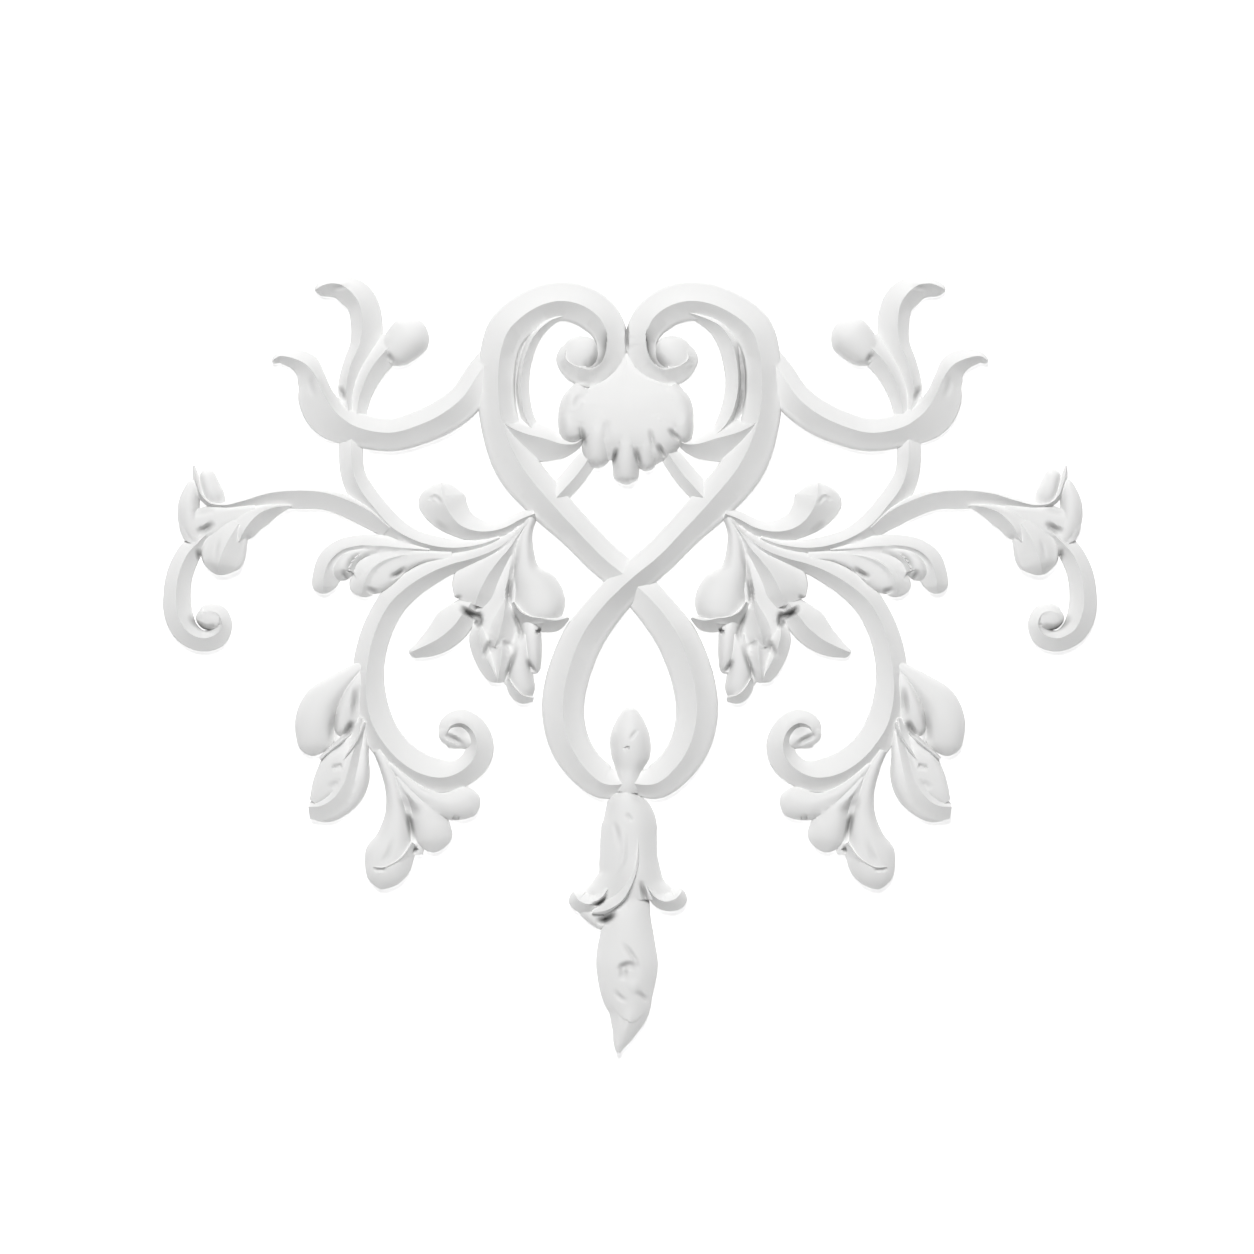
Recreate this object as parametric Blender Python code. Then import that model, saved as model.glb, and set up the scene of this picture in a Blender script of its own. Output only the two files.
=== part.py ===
"""Floral wall applique: one cast piece of leaf scrolls round a crossed heart ribbon.

The wall plane is y = 0 and the relief stands towards -y. The origin is on the flat back,
under the place where the two heart ribbons cross. Metres, z up.

Every scroll, stem, leaf and petal is a strand: a ridge line drawn through a few stations,
with a width on each side and a height over the wall. The strands are joined into one solid
and cut flat at the wall plane.
"""

import math
from dataclasses import dataclass, field

import bmesh
import bpy
import numpy as np

# Driving sizes, in metres.
OVERALL_WIDTH = 0.600
MILLIMETRE = 0.001

# The drawing of the ornament is OVERALL_WIDTH across and this many units wide. Stations give
# their place in these units from the crossing: outwards from the middle, then upwards.
DRAWING_WIDTH = 933.0
UNIT = OVERALL_WIDTH / DRAWING_WIDTH

# How far a strand reaches behind the wall plane before the back is cut flat, in metres, and
# the step that keeps the backs of two strands out of one plane.
BURY = 0.004
BURY_STEP = 0.00003

# The two top volutes meet a little left of the middle: by how many units, over which stretch
# of height it grows to that, and over which distance from the middle it fades out.
LEAN = 3.5
LEAN_FROM, LEAN_TO = 150.0, 230.0
LEAN_FADE_FROM, LEAN_FADE_TO = 60.0, 120.0

# Fineness of the faceted solid: largest turn of a ridge between two sections, and largest
# distance between them as a share of the strand's width.
TURN = math.radians(29.0)
REACH = 2.7

# The least width that this share is taken of, in units, the sections that a round end takes,
# the share of the width that is left at its tip, and the samples between two stations.
SMALLEST_WIDTH = 8.0
CAP_SECTIONS = 1.1
BLUNT = 0.2
TRACE_STEPS = 40

# Ridge heights in millimetres at the crossing, before it, on it and after it, of the ribbon
# that passes over and of the one that passes under.
OVER = (18.0, 20.0, 18.0)
UNDER = (14.5, 13.0, 14.5)

# How thick the block behind the wall plane is that cuts the back flat.
WALL_DEPTH = 0.05

# Sections, as (share of the half width, share of the height between edge and ridge).
RIBBON = ((-1.0, 0.0), (-0.80, 0.36), (0.0, 1.0), (0.80, 0.36), (1.0, 0.0))
BLADE = ((-1.0, 0.0), (0.0, 1.0), (1.0, 0.0))
DOME = ((-1.0, 0.0), (-0.62, 0.76), (0.0, 1.0), (0.62, 0.76), (1.0, 0.0))
CUSHION = ((-1.0, 0.0), (-0.8, 0.85), (0.8, 0.85), (1.0, 0.0))


@dataclass(frozen=True)
class Strand:
    """One scroll, stem, leaf or petal.

    A station is (outwards, upwards, half width on the left, half width on the right, ridge
    height). The first four are in drawing units, the height is in millimetres. Left and right
    are those of somebody who walks along the strand on the viewer's left half. A strand that
    swells and thins within a short length has more sections, by the share that fine gives.
    """

    name: str
    section: tuple
    stations: tuple
    edge: float = 6.0
    round_start: bool = False
    round_end: bool = False
    sides: tuple = (1, -1)
    lift: dict = field(default_factory=dict)
    fine: float = 1.0


HEART = (
    (53, 233, 4, 5, 9),
    (60, 227, 5, 7, 11),
    (61.5, 219, 5, 10, 12.5),
    (54, 212.5, 5, 15, 13),
    (45, 209, 5, 17, 13.5),
    (35.5, 207.8, 6, 18, 13.5),
    (24.3, 216.5, 8, 18, 14),
    (19.1, 236, 12, 18.5, 14.5),
    (24.9, 256, 18, 19.5, 15),
    (41, 270, 19.5, 20.5, 15.5),
    (65, 276, 19.5, 20.5, 16),
    (91.5, 269.5, 19, 21, 16),
    (120, 248, 19, 22, 16),
    (129, 224, 17, 21, 16),
    (131.5, 197, 17, 20, 16),
    (128, 158, 17, 22, 16),
    (110, 114, 18, 26, 16),
    (78, 74, 18, 23, 16),
    (54, 48, 17, 19, 16),
    (28, 21, 17, 18, 16),
    (0, -2, 17, 19, 16),
    (-30, -32, 16.5, 22, 16),
    (-50, -62, 19, 23, 16),
    (-64, -104, 21, 22, 16),
    (-66.5, -137, 21.5, 21, 16),
    (-59, -167.6, 20.5, 20, 16),
    (-43.6, -191.4, 18, 19.5, 15.5),
    (-26, -205, 16, 19, 15),
    (-10, -206, 12, 14, 14),
    (6, -202, 9, 10, 12),
)

STRANDS = (
    Strand("knob", DOME, (
        (62, 205, 8, 8, 9), (55, 215, 16, 17, 12.5), (46, 224, 19, 20, 13.5),
        (33, 238, 12, 12, 12)), round_start=True, round_end=True),
    Strand("band_left", BLADE, (
        (66, 257, 3, 5, 9), (86, 248, 6, 9, 10), (101, 231, 6, 11, 10.5),
        (107, 213, 6, 11, 10.5), (109, 193, 6.5, 11, 10.5), (107, 173, 7, 12, 11),
        (100, 156, 7, 12, 11), (87, 143, 5, 6, 11)), edge=3.5, sides=(1,)),
    Strand("band_right", BLADE, (
        (58, 266, 3, 4, 10), (77.6, 259, 8, 5, 11.5), (91.7, 251, 12, 5, 12),
        (102, 236, 14, 3.5, 12.5), (106.8, 218, 14, 3, 12.5), (108.4, 198, 13, 3, 12.5),
        (106.3, 178, 13, 3, 12.5), (100, 160, 12, 4, 12.5), (88, 145, 8, 5, 12),
        (75, 137, 4, 3, 11)), edge=3.5, sides=(-1,)),
    Strand("slot_bed", DOME, (
        (88, 262, 9, 9, 5), (106, 240, 9, 9, 5), (112, 200, 9, 9, 5), (108, 165, 9, 9, 5),
        (96, 148, 8, 8, 5)), edge=2.0),
    Strand("heart_blade", BLADE, (
        (129, 158, 2, 3, 15), (120, 150.5, 9, 15, 16), (105, 144, 14, 20, 16),
        (86, 139, 13, 24, 15), (67, 133.5, 8, 15, 13), (54, 134, 4, 6, 12), (46, 140, 1, 1, 11))),
    Strand("heart_brace", BLADE, (
        (38, 125, 8, 8, 11), (41, 119.6, 9, 11, 11.5), (54, 101.6, 10, 13, 12),
        (68, 86, 10, 13, 12.5), (84, 68, 9, 12, 12))),
    Strand("side_ribbon", RIBBON, (
        (126, 240, 12, 12, 7), (139, 221, 17, 17, 8), (150, 205.6, 20, 18, 10),
        (167, 179, 20.5, 17, 14), (188, 165, 21, 16.5, 15.8), (212, 151.6, 19, 15.5, 15.5),
        (236, 145, 18.5, 15, 15), (260, 146.8, 18.5, 15, 14.5), (281.6, 155.2, 20, 14, 14),
        (298, 170, 18, 12, 12))),
    Strand("wing_leaf", BLADE, (
        (268, 147, 16, 12, 12), (281, 155, 24, 13, 14.5), (295, 167, 29, 12, 15),
        (305, 183, 28, 9, 15), (313, 200, 21, 8, 14.5), (322, 212, 16, 12, 14),
        (336, 219, 10, 10, 13), (350, 221, 7, 5, 11.5), (358, 216, 3, 2, 9)), round_end=True),
    Strand("crest_leaf", BLADE, (
        (276, 150, 8, 8, 6), (281, 168, 8, 8, 8), (283, 190, 9, 10, 11.5),
        (278, 213, 9, 13, 12.5), (270, 233, 10, 14, 13), (267, 252, 12, 16, 14),
        (269.6, 272, 13, 16, 15), (277, 284, 15, 14, 15.5), (288, 292, 15, 10, 15.5),
        (298, 293.5, 13, 7, 14.5), (307, 289, 9, 6, 13), (311, 281, 5, 5, 10)), round_end=True),
    Strand("bud_stem", BLADE, (
        (272, 152, 9, 8, 6), (272, 170, 10, 10, 8.5), (267, 190, 13, 12, 11.5),
        (258, 209, 15, 14, 13), (247, 223, 15, 15, 14), (236, 234, 15, 14, 14))),
    Strand("crest_bud", DOME, (
        (242, 215, 11, 13, 12), (234, 228, 18, 18, 15), (222, 243, 20, 20, 16.5),
        (211, 257, 15, 15, 13)), round_start=True, round_end=True),
    Strand("knob_stem", BLADE, (
        (95, 64, 6, 6, 13), (108, 59, 8, 8, 13), (123, 51, 8.5, 9, 12.5), (138, 46.8, 9, 10, 12),
        (153.5, 46.8, 10.5, 14, 12.5), (168, 52, 13, 17, 13), (179, 63, 20, 20, 14),
        (186, 78, 26, 22, 15), (188, 96, 20, 16, 13)), round_end=True),
    Strand("upper_stem", BLADE, (
        (278, 152, 9, 11, 12), (278, 129, 11, 13, 12.5), (276, 106, 11, 13.5, 12.5),
        (269.5, 89, 12.5, 14, 12.5), (257, 72, 12.5, 12, 12.5), (238, 51, 12.5, 12, 12.5),
        (217, 38.6, 10.6, 9, 12.5), (196, 32, 10.5, 6, 12), (175, 30, 8.6, 5, 11),
        (150, 33.3, 6, 5, 10), (130, 40, 4, 4, 9))),
    Strand("flower_stem", BLADE, (
        (240, 50, 12, 8, 12), (259, 66, 17, 7, 12.5), (282, 77.5, 17, 5, 12.5),
        (305, 85, 17, 4, 12.5), (333, 87, 18, 4, 12.5), (362, 84, 15, 4, 12.5),
        (385, 77, 9, 4, 12.5), (405, 72.5, 6, 4, 12.5), (420, 75, 4, 5, 12.5),
        (428, 83, 4, 5, 12), (433, 96, 4, 5, 11), (436, 112.5, 1, 1, 8))),
    Strand("curl_rim", BLADE, (
        (205, 27, 4, 4, 10), (230, 28, 6, 12, 11.5), (250, 30, 8, 13, 13), (272, 32, 12, 12, 14),
        (288, 28, 16, 13, 14.5), (299, 18, 18, 13, 14.5), (305, 3, 17, 12, 14),
        (306, -10, 12, 12, 12), (306, -17, 9, 11, 9)), edge=5.0, round_end=True),
    Strand("curl_bed", DOME, (
        (215, 20, 8, 8, 8), (245, 12, 20, 20, 8.5), (268, 4, 23, 26, 8.5), (290, 4, 12, 18, 8))),
    Strand("curl_fold", BLADE, (
        (250, 28, 4, 3, 11), (262, 25, 8, 4, 13), (274, 20, 14, 4, 13.5), (282, 10, 17, 4, 13.5),
        (284, -2, 16, 5, 12.5), (280, -12, 9, 5, 9)), edge=5.0, round_end=True),
    Strand("curl_leaf", BLADE, (
        (210, 24, 4, 3, 11), (232, 22, 8, 4, 13), (248, 17, 14, 4, 14), (259, 8, 18, 5, 14),
        (265, -4, 20, 6, 13), (266, -15, 14, 10, 10)), edge=5.0, round_end=True),
    Strand("petal_left", DOME, (
        (433, 38, 8, 9, 11), (439, 54, 10, 9, 12), (441, 74, 10, 9, 12.5), (437, 94, 6, 8, 10),
        (435, 102, 3, 5, 8)), round_end=True),
    Strand("petal_right", DOME, (
        (414, 72, 9, 9, 12), (419, 84, 10, 12, 12.5), (422, 98, 9, 9, 12), (424, 109, 7, 6, 9)),
        round_end=True),
    Strand("flower_bed", DOME, (
        (374, 70, 8, 6, 9), (398, 66, 12, 8, 9), (418, 58, 18, 14, 9), (432, 44, 14, 12, 9),
        (437, 32, 8, 8, 8))),
    Strand("calyx", BLADE, (
        (338, 72, 1, 1, 11), (355, 70, 9, 4, 14), (368, 65, 13, 10, 15), (378, 56, 12, 22, 16),
        (385, 46, 10, 26, 16.5), (390, 36, 3, 12, 14))),
    Strand("flower_bud", RIBBON, (
        (392, 52, 9, 12, 15), (398, 43, 17, 20, 16.5), (404, 30, 21, 23, 17.5),
        (409, 17, 20, 21, 17), (413, 4, 13, 13, 13)), edge=7.0, round_end=True),
    Strand("hook", BLADE, (
        (418, 48, 6, 8, 11), (430, 36, 9, 11, 12.5), (441, 24, 12, 12, 13),
        (449.5, 5, 13, 13, 13.5), (452.6, -16, 13.6, 13.7, 13.5), (451, -36, 14, 14.5, 13.5),
        (443, -52, 12, 14, 13.5), (428, -60, 8, 13.5, 13), (414, -57, 8, 13, 12.5),
        (407, -47, 10, 9.5, 13), (412, -35, 9, 9, 13), (422, -33, 8, 8, 12),
        (433, -37, 4, 5, 10)), round_end=True),
    Strand("hook_eye", DOME, (
        (438, -44, 9, 9, 5), (416, -48, 10, 10, 5))),
    Strand("great_scroll", BLADE, (
        (97, 60, 5, 5, 12), (115, 42, 8, 7, 13), (135, 28, 11, 9, 14), (155, 20, 9, 10, 14),
        (177, 14, 9.5, 11, 14), (196, 6.5, 12, 13, 14), (219, -7, 14, 14, 14),
        (238, -24, 15.5, 14, 14), (249.6, -43, 16, 14, 14), (257.3, -64, 16, 14.5, 14),
        (262, -89, 16.5, 15, 14), (263, -116, 19, 15, 14), (258, -143, 21, 15, 14),
        (247, -163, 20, 15, 14), (230, -182, 20, 15, 14), (209, -195, 20, 15.5, 14),
        (186.4, -199, 18, 15.5, 14), (169, -193, 13, 16, 14), (156.5, -181, 12, 17, 14),
        (152.5, -167, 11, 16.5, 14), (157, -153, 10, 15, 13.5), (168, -145, 9, 14, 13),
        (179, -148, 8, 12, 12), (184, -158, 6, 8, 10))),
    Strand("scroll_eye", DOME, (
        (186, -158, 10, 14, 9), (170, -166, 14, 16, 9), (158, -168, 9, 9, 9))),
    Strand("side_leaf", DOME, (
        (270, -90, 5, 8, 11), (290, -109, 10, 14, 12.5), (307, -126, 16, 20, 14),
        (315, -145, 20, 20, 14.5), (317, -163, 21, 16, 13), (317, -178, 12, 11, 9)),
        edge=5, round_end=True),
    Strand("side_leaf_fold", DOME, (
        (272, -98, 6, 7, 12), (279, -114, 8, 8, 13.5), (286, -134, 9, 9, 13.5),
        (289, -152, 8, 9, 11), (290, -162, 6, 6, 8)), edge=5, round_end=True),
    Strand("corner_leaf", BLADE, (
        (268, -140, 5, 5, 12), (272, -158, 9, 14, 13.5), (278, -174, 13, 26, 14),
        (282, -190, 18, 32, 14.5), (286, -205, 21, 34, 14.5), (295, -219, 20, 28, 14.5),
        (307, -227, 16, 17, 14), (321, -228.5, 12, 3, 12)), edge=6),
    Strand("foot_leaf", DOME, (
        (252, -172, 5, 5, 11), (243, -190, 7, 7, 12), (236, -212, 8.5, 8.5, 12.5),
        (233, -235, 11, 12, 13), (235, -258, 17, 18, 14), (240, -278, 24, 25, 14.5),
        (246, -297, 20, 19, 13), (249, -311, 9, 9, 8)), edge=5, round_end=True, fine=1.3),
    Strand("foot_bed", DOME, (
        (226, -210, 6, 6, 7), (220, -238, 9, 9, 7), (214, -266, 9, 9, 7), (212, -276, 5, 5, 6))),
    Strand("foot_lobe", DOME, (
        (240, -186, 4, 4, 11), (216, -208, 8, 8, 12.5), (197, -220, 14, 16, 13.5),
        (178, -224, 18, 19, 14), (162, -222, 15, 18, 13), (149.5, -218, 11, 12, 10)),
        edge=5, round_end=True),
    Strand("foot_lobe_low", DOME, (
        (232, -198, 4, 5, 11), (214, -224, 10, 12, 12), (203, -243, 17, 17, 13.5),
        (197, -260, 20, 18, 13), (194, -275, 14, 14, 9)), edge=5, round_end=True),
    Strand("drop_bed", DOME, (
        (110, 52, 6, 6, 9), (118, 20, 13, 12, 10), (124, -10, 18, 20, 10.5),
        (134, -34, 26, 26, 9.5), (128, -62, 30, 24, 9), (118, -88, 20, 18, 8),
        (112, -108, 12, 10, 7))),
    Strand("drop_petal", DOME, (
        (98, 60, 5, 6, 12), (103, 46, 6, 9, 13), (105, 28, 9, 12, 14.5), (103, 8, 13, 16, 15.5),
        (95, -10, 24, 24, 16.5), (90, -26, 26, 27, 17.5), (88, -37, 22, 24, 17),
        (87, -45, 17, 18, 14))),
    Strand("drop_lip", BLADE, (
        (116, -24, 1, 5, 15.5), (110, -33, 4, 9, 17), (100, -38.5, 6, 13, 17.5),
        (87, -40.5, 7, 14, 17.5), (74, -42.5, 6, 11, 16), (61, -39.5, 1, 2, 11))),
    Strand("broad_leaf", BLADE, (
        (100, 58, 4, 5, 12), (112, 42, 7, 9, 13.5), (120, 30, 10, 14, 14.5),
        (131, 17, 17, 24, 15.5), (142, 2, 24, 30, 16), (150, -14, 28, 30, 15.5),
        (155, -27, 22, 22, 12))),
    Strand("tail_leaf", BLADE, (
        (156, -22, 8, 8, 11), (166, -35, 14, 16, 14), (176, -48, 16, 21, 15),
        (190, -60, 15, 17, 14.5), (205, -68, 11, 10, 13), (217, -73, 6, 4, 11),
        (221, -76, 3, 2, 9))),
    Strand("lobe_left", DOME, (
        (150, -36, 9, 9, 13), (152, -54, 10, 9, 13.5), (150, -68, 10, 10, 13),
        (144, -84, 10, 10, 12), (136, -101, 8, 7, 9)), round_end=True),
    Strand("lobe_middle", RIBBON, (
        (121, -12, 8, 8, 14), (127, -34, 14, 14, 16), (133, -50, 18, 15, 16.5),
        (139, -62, 14, 11, 15), (143, -69, 6, 6, 12)), edge=5.0),
    Strand("lobe_low", RIBBON, (
        (128, -58, 12, 12, 13), (129, -76, 14, 15, 15), (131, -92, 14, 14, 14),
        (133, -105, 8, 8, 10)), edge=5.0, round_end=True),
    Strand("lobe_right", DOME, (
        (106, -58, 8, 10, 13), (108, -80, 12, 12, 14.5), (111, -98, 13, 12, 15),
        (107, -114, 13, 12, 13), (102, -124, 8, 8, 8)), round_end=True),
    Strand("lobe_small", DOME, (
        (98, -44, 9, 10, 13), (96, -64, 9, 11, 14.5), (95, -82, 8, 9, 14), (95, -97, 5, 5, 9)),
        round_end=True),
)

MIDDLE = (
    Strand("loop_bud", DOME, (
        (0, -128, 5, 5, 9), (0, -142, 14, 14, 13), (0, -158, 20, 20, 16), (0, -178, 20, 19, 16),
        (1, -192, 13, 14, 14.5), (3, -204, 15, 16, 14), (4, -214, 22, 22, 12)),
        round_start=True, sides=(1,), fine=1.9),
    Strand("bell", DOME, (
        (4, -212, 9, 9, 14), (4, -224, 19, 19, 17), (1, -242, 27, 27, 18.5),
        (1, -262, 28, 29, 19), (1, -282, 29, 30, 19), (0, -297, 32, 32, 18.5),
        (0, -312, 32, 32, 16), (0, -322, 24, 26, 13)), round_start=True, sides=(1,), fine=1.3),
    Strand("lip_left", DOME, (
        (16, -270, 8, 8, 16.5), (23, -294, 12, 12, 17.5), (34, -309, 14, 14, 17),
        (48, -314, 15, 14, 16), (59, -312, 10, 9, 12)), edge=5, round_end=True, sides=(1,)),
    Strand("lip_right", DOME, (
        (-13, -270, 8, 8, 16.5), (-20, -294, 12, 12, 17.5), (-31, -309, 14, 14, 17),
        (-45, -314, 14, 15, 16), (-55, -312, 9, 10, 12)), edge=5, round_end=True, sides=(1,)),
    Strand("bell_petal", BLADE, (
        (-8, -252, 3, 8, 18), (-8, -284, 4, 14, 20.5), (-3, -302, 5, 19, 20.5),
        (8, -321, 5, 19, 19.5), (23, -331, 5, 14, 17.5), (38, -334, 3, 6, 13)),
        edge=5, sides=(1,)),
    Strand("pendant", DOME, (
        (3, -312, 22, 20, 13), (4, -340, 25, 23, 15), (3, -364, 28, 29, 16.5),
        (3, -386, 31, 31, 17.5), (3, -412, 27, 27, 16.5), (2, -434, 21, 20, 15),
        (6, -452, 13, 13, 13), (11, -465, 8, 6, 11), (12, -474, 3, 2, 9)),
        edge=5, sides=(1,), fine=1.5),
    Strand("shell", CUSHION, (
        (1, 224, 3, 3, 6), (1, 208, 12, 12, 9), (1, 196, 30, 28, 12), (1, 186, 56, 54, 15),
        (1, 174, 68, 64, 17), (2, 156, 69, 62, 18), (2, 140, 58, 52, 18), (3, 126, 44, 38, 15),
        (4, 116, 30, 26, 10)), sides=(1,)),
    Strand("shell_middle", DOME, (
        (3, 156, 14, 14, 18.5), (4, 130, 14, 14, 18.5), (4, 110, 13.5, 13.5, 17),
        (4, 98, 12, 12, 14), (4, 93, 8, 8, 10)), round_end=True, sides=(1,)),
    Strand("shell_left", DOME, (
        (26, 166, 12, 12, 17.5), (32, 144, 15, 15, 18.8), (33, 126, 15, 15, 17),
        (33, 109.5, 11, 11, 13)), round_end=True, sides=(1,)),
    Strand("shell_right", DOME, (
        (-14, 150, 11, 11, 18), (-16, 128, 12, 12, 17), (-17, 106.5, 9, 9, 12)),
        round_end=True, sides=(1,)),
    Strand("shell_right_small", DOME, (
        (-26, 162, 12, 12, 18), (-31, 146, 12, 12, 17.5), (-32, 129, 9, 9, 13)),
        round_end=True, sides=(1,)),
    Strand("shell_outer_left", DOME, (
        (46, 188, 10, 10, 14), (57, 174, 14, 14, 17), (60, 158, 14, 14, 18),
        (58, 144, 12, 13, 16), (56, 135, 8, 8, 12)), round_end=True, sides=(1,)),
    Strand("shell_outer_right", DOME, (
        (-40, 190, 10, 10, 14), (-50, 176, 13, 13, 17), (-53, 158, 12, 13, 18),
        (-52, 144, 11, 12, 16), (-50, 133, 8, 8, 12)), round_end=True, sides=(1,)),
)


def hermite(knots, values, at):
    """Smooth curve through values at the knots: cubic pieces with Catmull-Rom slopes."""
    values = np.asarray(values, float)
    slopes = np.gradient(values, knots, axis=0)
    piece = np.clip(np.searchsorted(knots, at, side="right") - 1, 0, len(knots) - 2)
    span = (knots[piece + 1] - knots[piece])[:, None]
    t = (at - knots[piece])[:, None] / span
    low, high = values[piece], values[piece + 1]
    return (
        low * (1 + 2 * t) * (1 - t) ** 2
        + high * t**2 * (3 - 2 * t)
        + slopes[piece] * span * t * (1 - t) ** 2
        - slopes[piece + 1] * span * t**2 * (1 - t)
    )


def trace(strand, side):
    """Ridge points, the normals to their left, half widths and heights, evenly fine."""
    rows = np.array(strand.stations, float)
    for index, height in strand.lift.get(side, {}).items():
        rows[index, 4] = height
    grown = np.clip((rows[:, 1] - LEAN_FROM) / (LEAN_TO - LEAN_FROM), 0, 1)
    faded = np.clip((LEAN_FADE_TO - np.abs(rows[:, 0])) / (LEAN_FADE_TO - LEAN_FADE_FROM), 0, 1)
    rows[:, 0] = -side * rows[:, 0] - LEAN * grown * faded
    if side < 0:
        rows[:, [2, 3]] = rows[:, [3, 2]]
    hops = np.linalg.norm(np.diff(rows[:, :2], axis=0), axis=1)
    knots = np.concatenate([[0.0], np.cumsum(np.sqrt(hops))])
    fine = hermite(knots, rows, np.linspace(0, knots[-1], TRACE_STEPS * (len(rows) - 1) + 1))
    hops = np.linalg.norm(np.diff(fine[:, :2], axis=0), axis=1)
    walked = np.concatenate([[0.0], np.cumsum(hops)])
    cap = np.ones(len(fine))
    for wanted, distance, row in (
        (strand.round_start, walked, fine[0]),
        (strand.round_end, walked[-1] - walked, fine[-1]),
    ):
        if wanted:
            radius = (row[2] + row[3]) / 2
            inside = np.clip(1 - distance / radius, 0, 1)
            cap = cap * np.maximum(np.sqrt(1 - inside**2), BLUNT)
    heading = np.gradient(fine[:, :2], walked, axis=0)
    heading /= np.linalg.norm(heading, axis=1)[:, None]
    turned = np.abs(np.diff(np.unwrap(np.arctan2(heading[:, 1], heading[:, 0]))))
    width = np.maximum(fine[:, 2] + fine[:, 3], SMALLEST_WIDTH)
    cost = turned / TURN + np.diff(walked) / (REACH * (width[1:] + width[:-1]) / 2)
    cost += CAP_SECTIONS * np.abs(np.diff(cap))
    cost = np.concatenate([[0.0], np.cumsum(cost * strand.fine)])
    count = max(3, math.ceil(cost[-1]) + 1)
    at = np.interp(np.linspace(0, cost[-1], count), cost, np.arange(len(cost)))
    pick = np.column_stack([fine, heading, cap])
    picked = np.column_stack([np.interp(at, np.arange(len(pick)), column) for column in pick.T])
    normal = np.column_stack([-picked[:, 6], picked[:, 5]])
    normal /= np.linalg.norm(normal, axis=1)[:, None]
    return picked[:, :2], normal, picked[:, 2:4], picked[:, 4], picked[:, 7]


def surface(strand, side):
    """Points of the strand's front, rows along the ridge and columns across it, in metres."""
    ridge, normal, half, height, cap = trace(strand, side)
    share = np.array(strand.section)
    # The section is listed from the left edge to the right one.
    across = share[None, :, 0] * np.where(share[None, :, 0] < 0, half[:, :1], half[:, 1:])
    across = across * cap[:, None]
    place = ridge[:, None, :] - across[:, :, None] * normal[:, None, :]
    rise = strand.edge + (height[:, None] - strand.edge) * share[None, :, 1] * cap[:, None]
    return np.dstack([place[:, :, 0] * UNIT, -rise * MILLIMETRE, place[:, :, 1] * UNIT])


def strand_mesh(name, points, bury):
    """A closed mesh: the front grid, sides straight back past the wall plane, and a back."""
    rows, columns = points.shape[:2]
    mesh = bmesh.new()
    bmesh.ops.create_grid(mesh, x_segments=rows - 1, y_segments=columns - 1, size=1.0)
    for vertex in mesh.verts:
        row = round((vertex.co.x + 1) / 2 * (rows - 1))
        column = round((vertex.co.y + 1) / 2 * (columns - 1))
        vertex.co = points[row, column]
    rim = [edge for edge in mesh.edges if edge.is_boundary]
    walls = bmesh.ops.extrude_edge_only(mesh, edges=rim)["geom"]
    for vertex in walls:
        if isinstance(vertex, bmesh.types.BMVert):
            vertex.co.y = bury
    bmesh.ops.holes_fill(mesh, edges=[edge for edge in mesh.edges if edge.is_boundary])
    bmesh.ops.triangulate(mesh, faces=mesh.faces)
    bmesh.ops.recalc_face_normals(mesh, faces=mesh.faces)
    data = bpy.data.meshes.new(name)
    mesh.to_mesh(data)
    mesh.free()
    return data


def plaster_material():
    """White primed casting resin."""
    material = bpy.data.materials.new("primed_white")
    material.use_nodes = True
    shader = material.node_tree.nodes["Principled BSDF"]
    shader.inputs["Base Color"].default_value = (0.86, 0.86, 0.85, 1.0)
    shader.inputs["Roughness"].default_value = 0.62
    shader.inputs["Metallic"].default_value = 0.0
    return material


def box(name, low, high, collection):
    """A box between two corners."""
    mesh = bmesh.new()
    bmesh.ops.create_cube(mesh, size=1.0)
    for vertex in mesh.verts:
        vertex.co = [low[k] if vertex.co[k] < 0 else high[k] for k in range(3)]
    data = bpy.data.meshes.new(name)
    mesh.to_mesh(data)
    mesh.free()
    obj = bpy.data.objects.new(name, data)
    collection.objects.link(obj)
    return obj


def hide(obj):
    """Marks an object as a tool of the Booleans only."""
    obj.hide_render = True
    obj.display_type = "WIRE"


def boolean(obj, name, operation, collection):
    """Adds an exact Boolean with every object of a collection."""
    modifier = obj.modifiers.new(name, "BOOLEAN")
    modifier.operation = operation
    modifier.solver = "EXACT"
    modifier.operand_type = "COLLECTION"
    modifier.collection = collection


def new_collection(name, helper):
    """A collection linked to the scene, hidden from renders when it only helps."""
    collection = bpy.data.collections.new(name)
    bpy.context.scene.collection.children.link(collection)
    collection.hide_render = helper
    return collection


def heart_ribbon():
    """The heart ribbon, raised where its right half passes over and lowered where it dips."""
    crossing = min(range(len(HEART)), key=lambda index: math.hypot(*HEART[index][:2]))
    places = range(crossing - 1, crossing + 2)
    lift = {1: dict(zip(places, UNDER)), -1: dict(zip(places, OVER))}
    return Strand("heart_ribbon", RIBBON, HEART, lift=lift)


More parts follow.
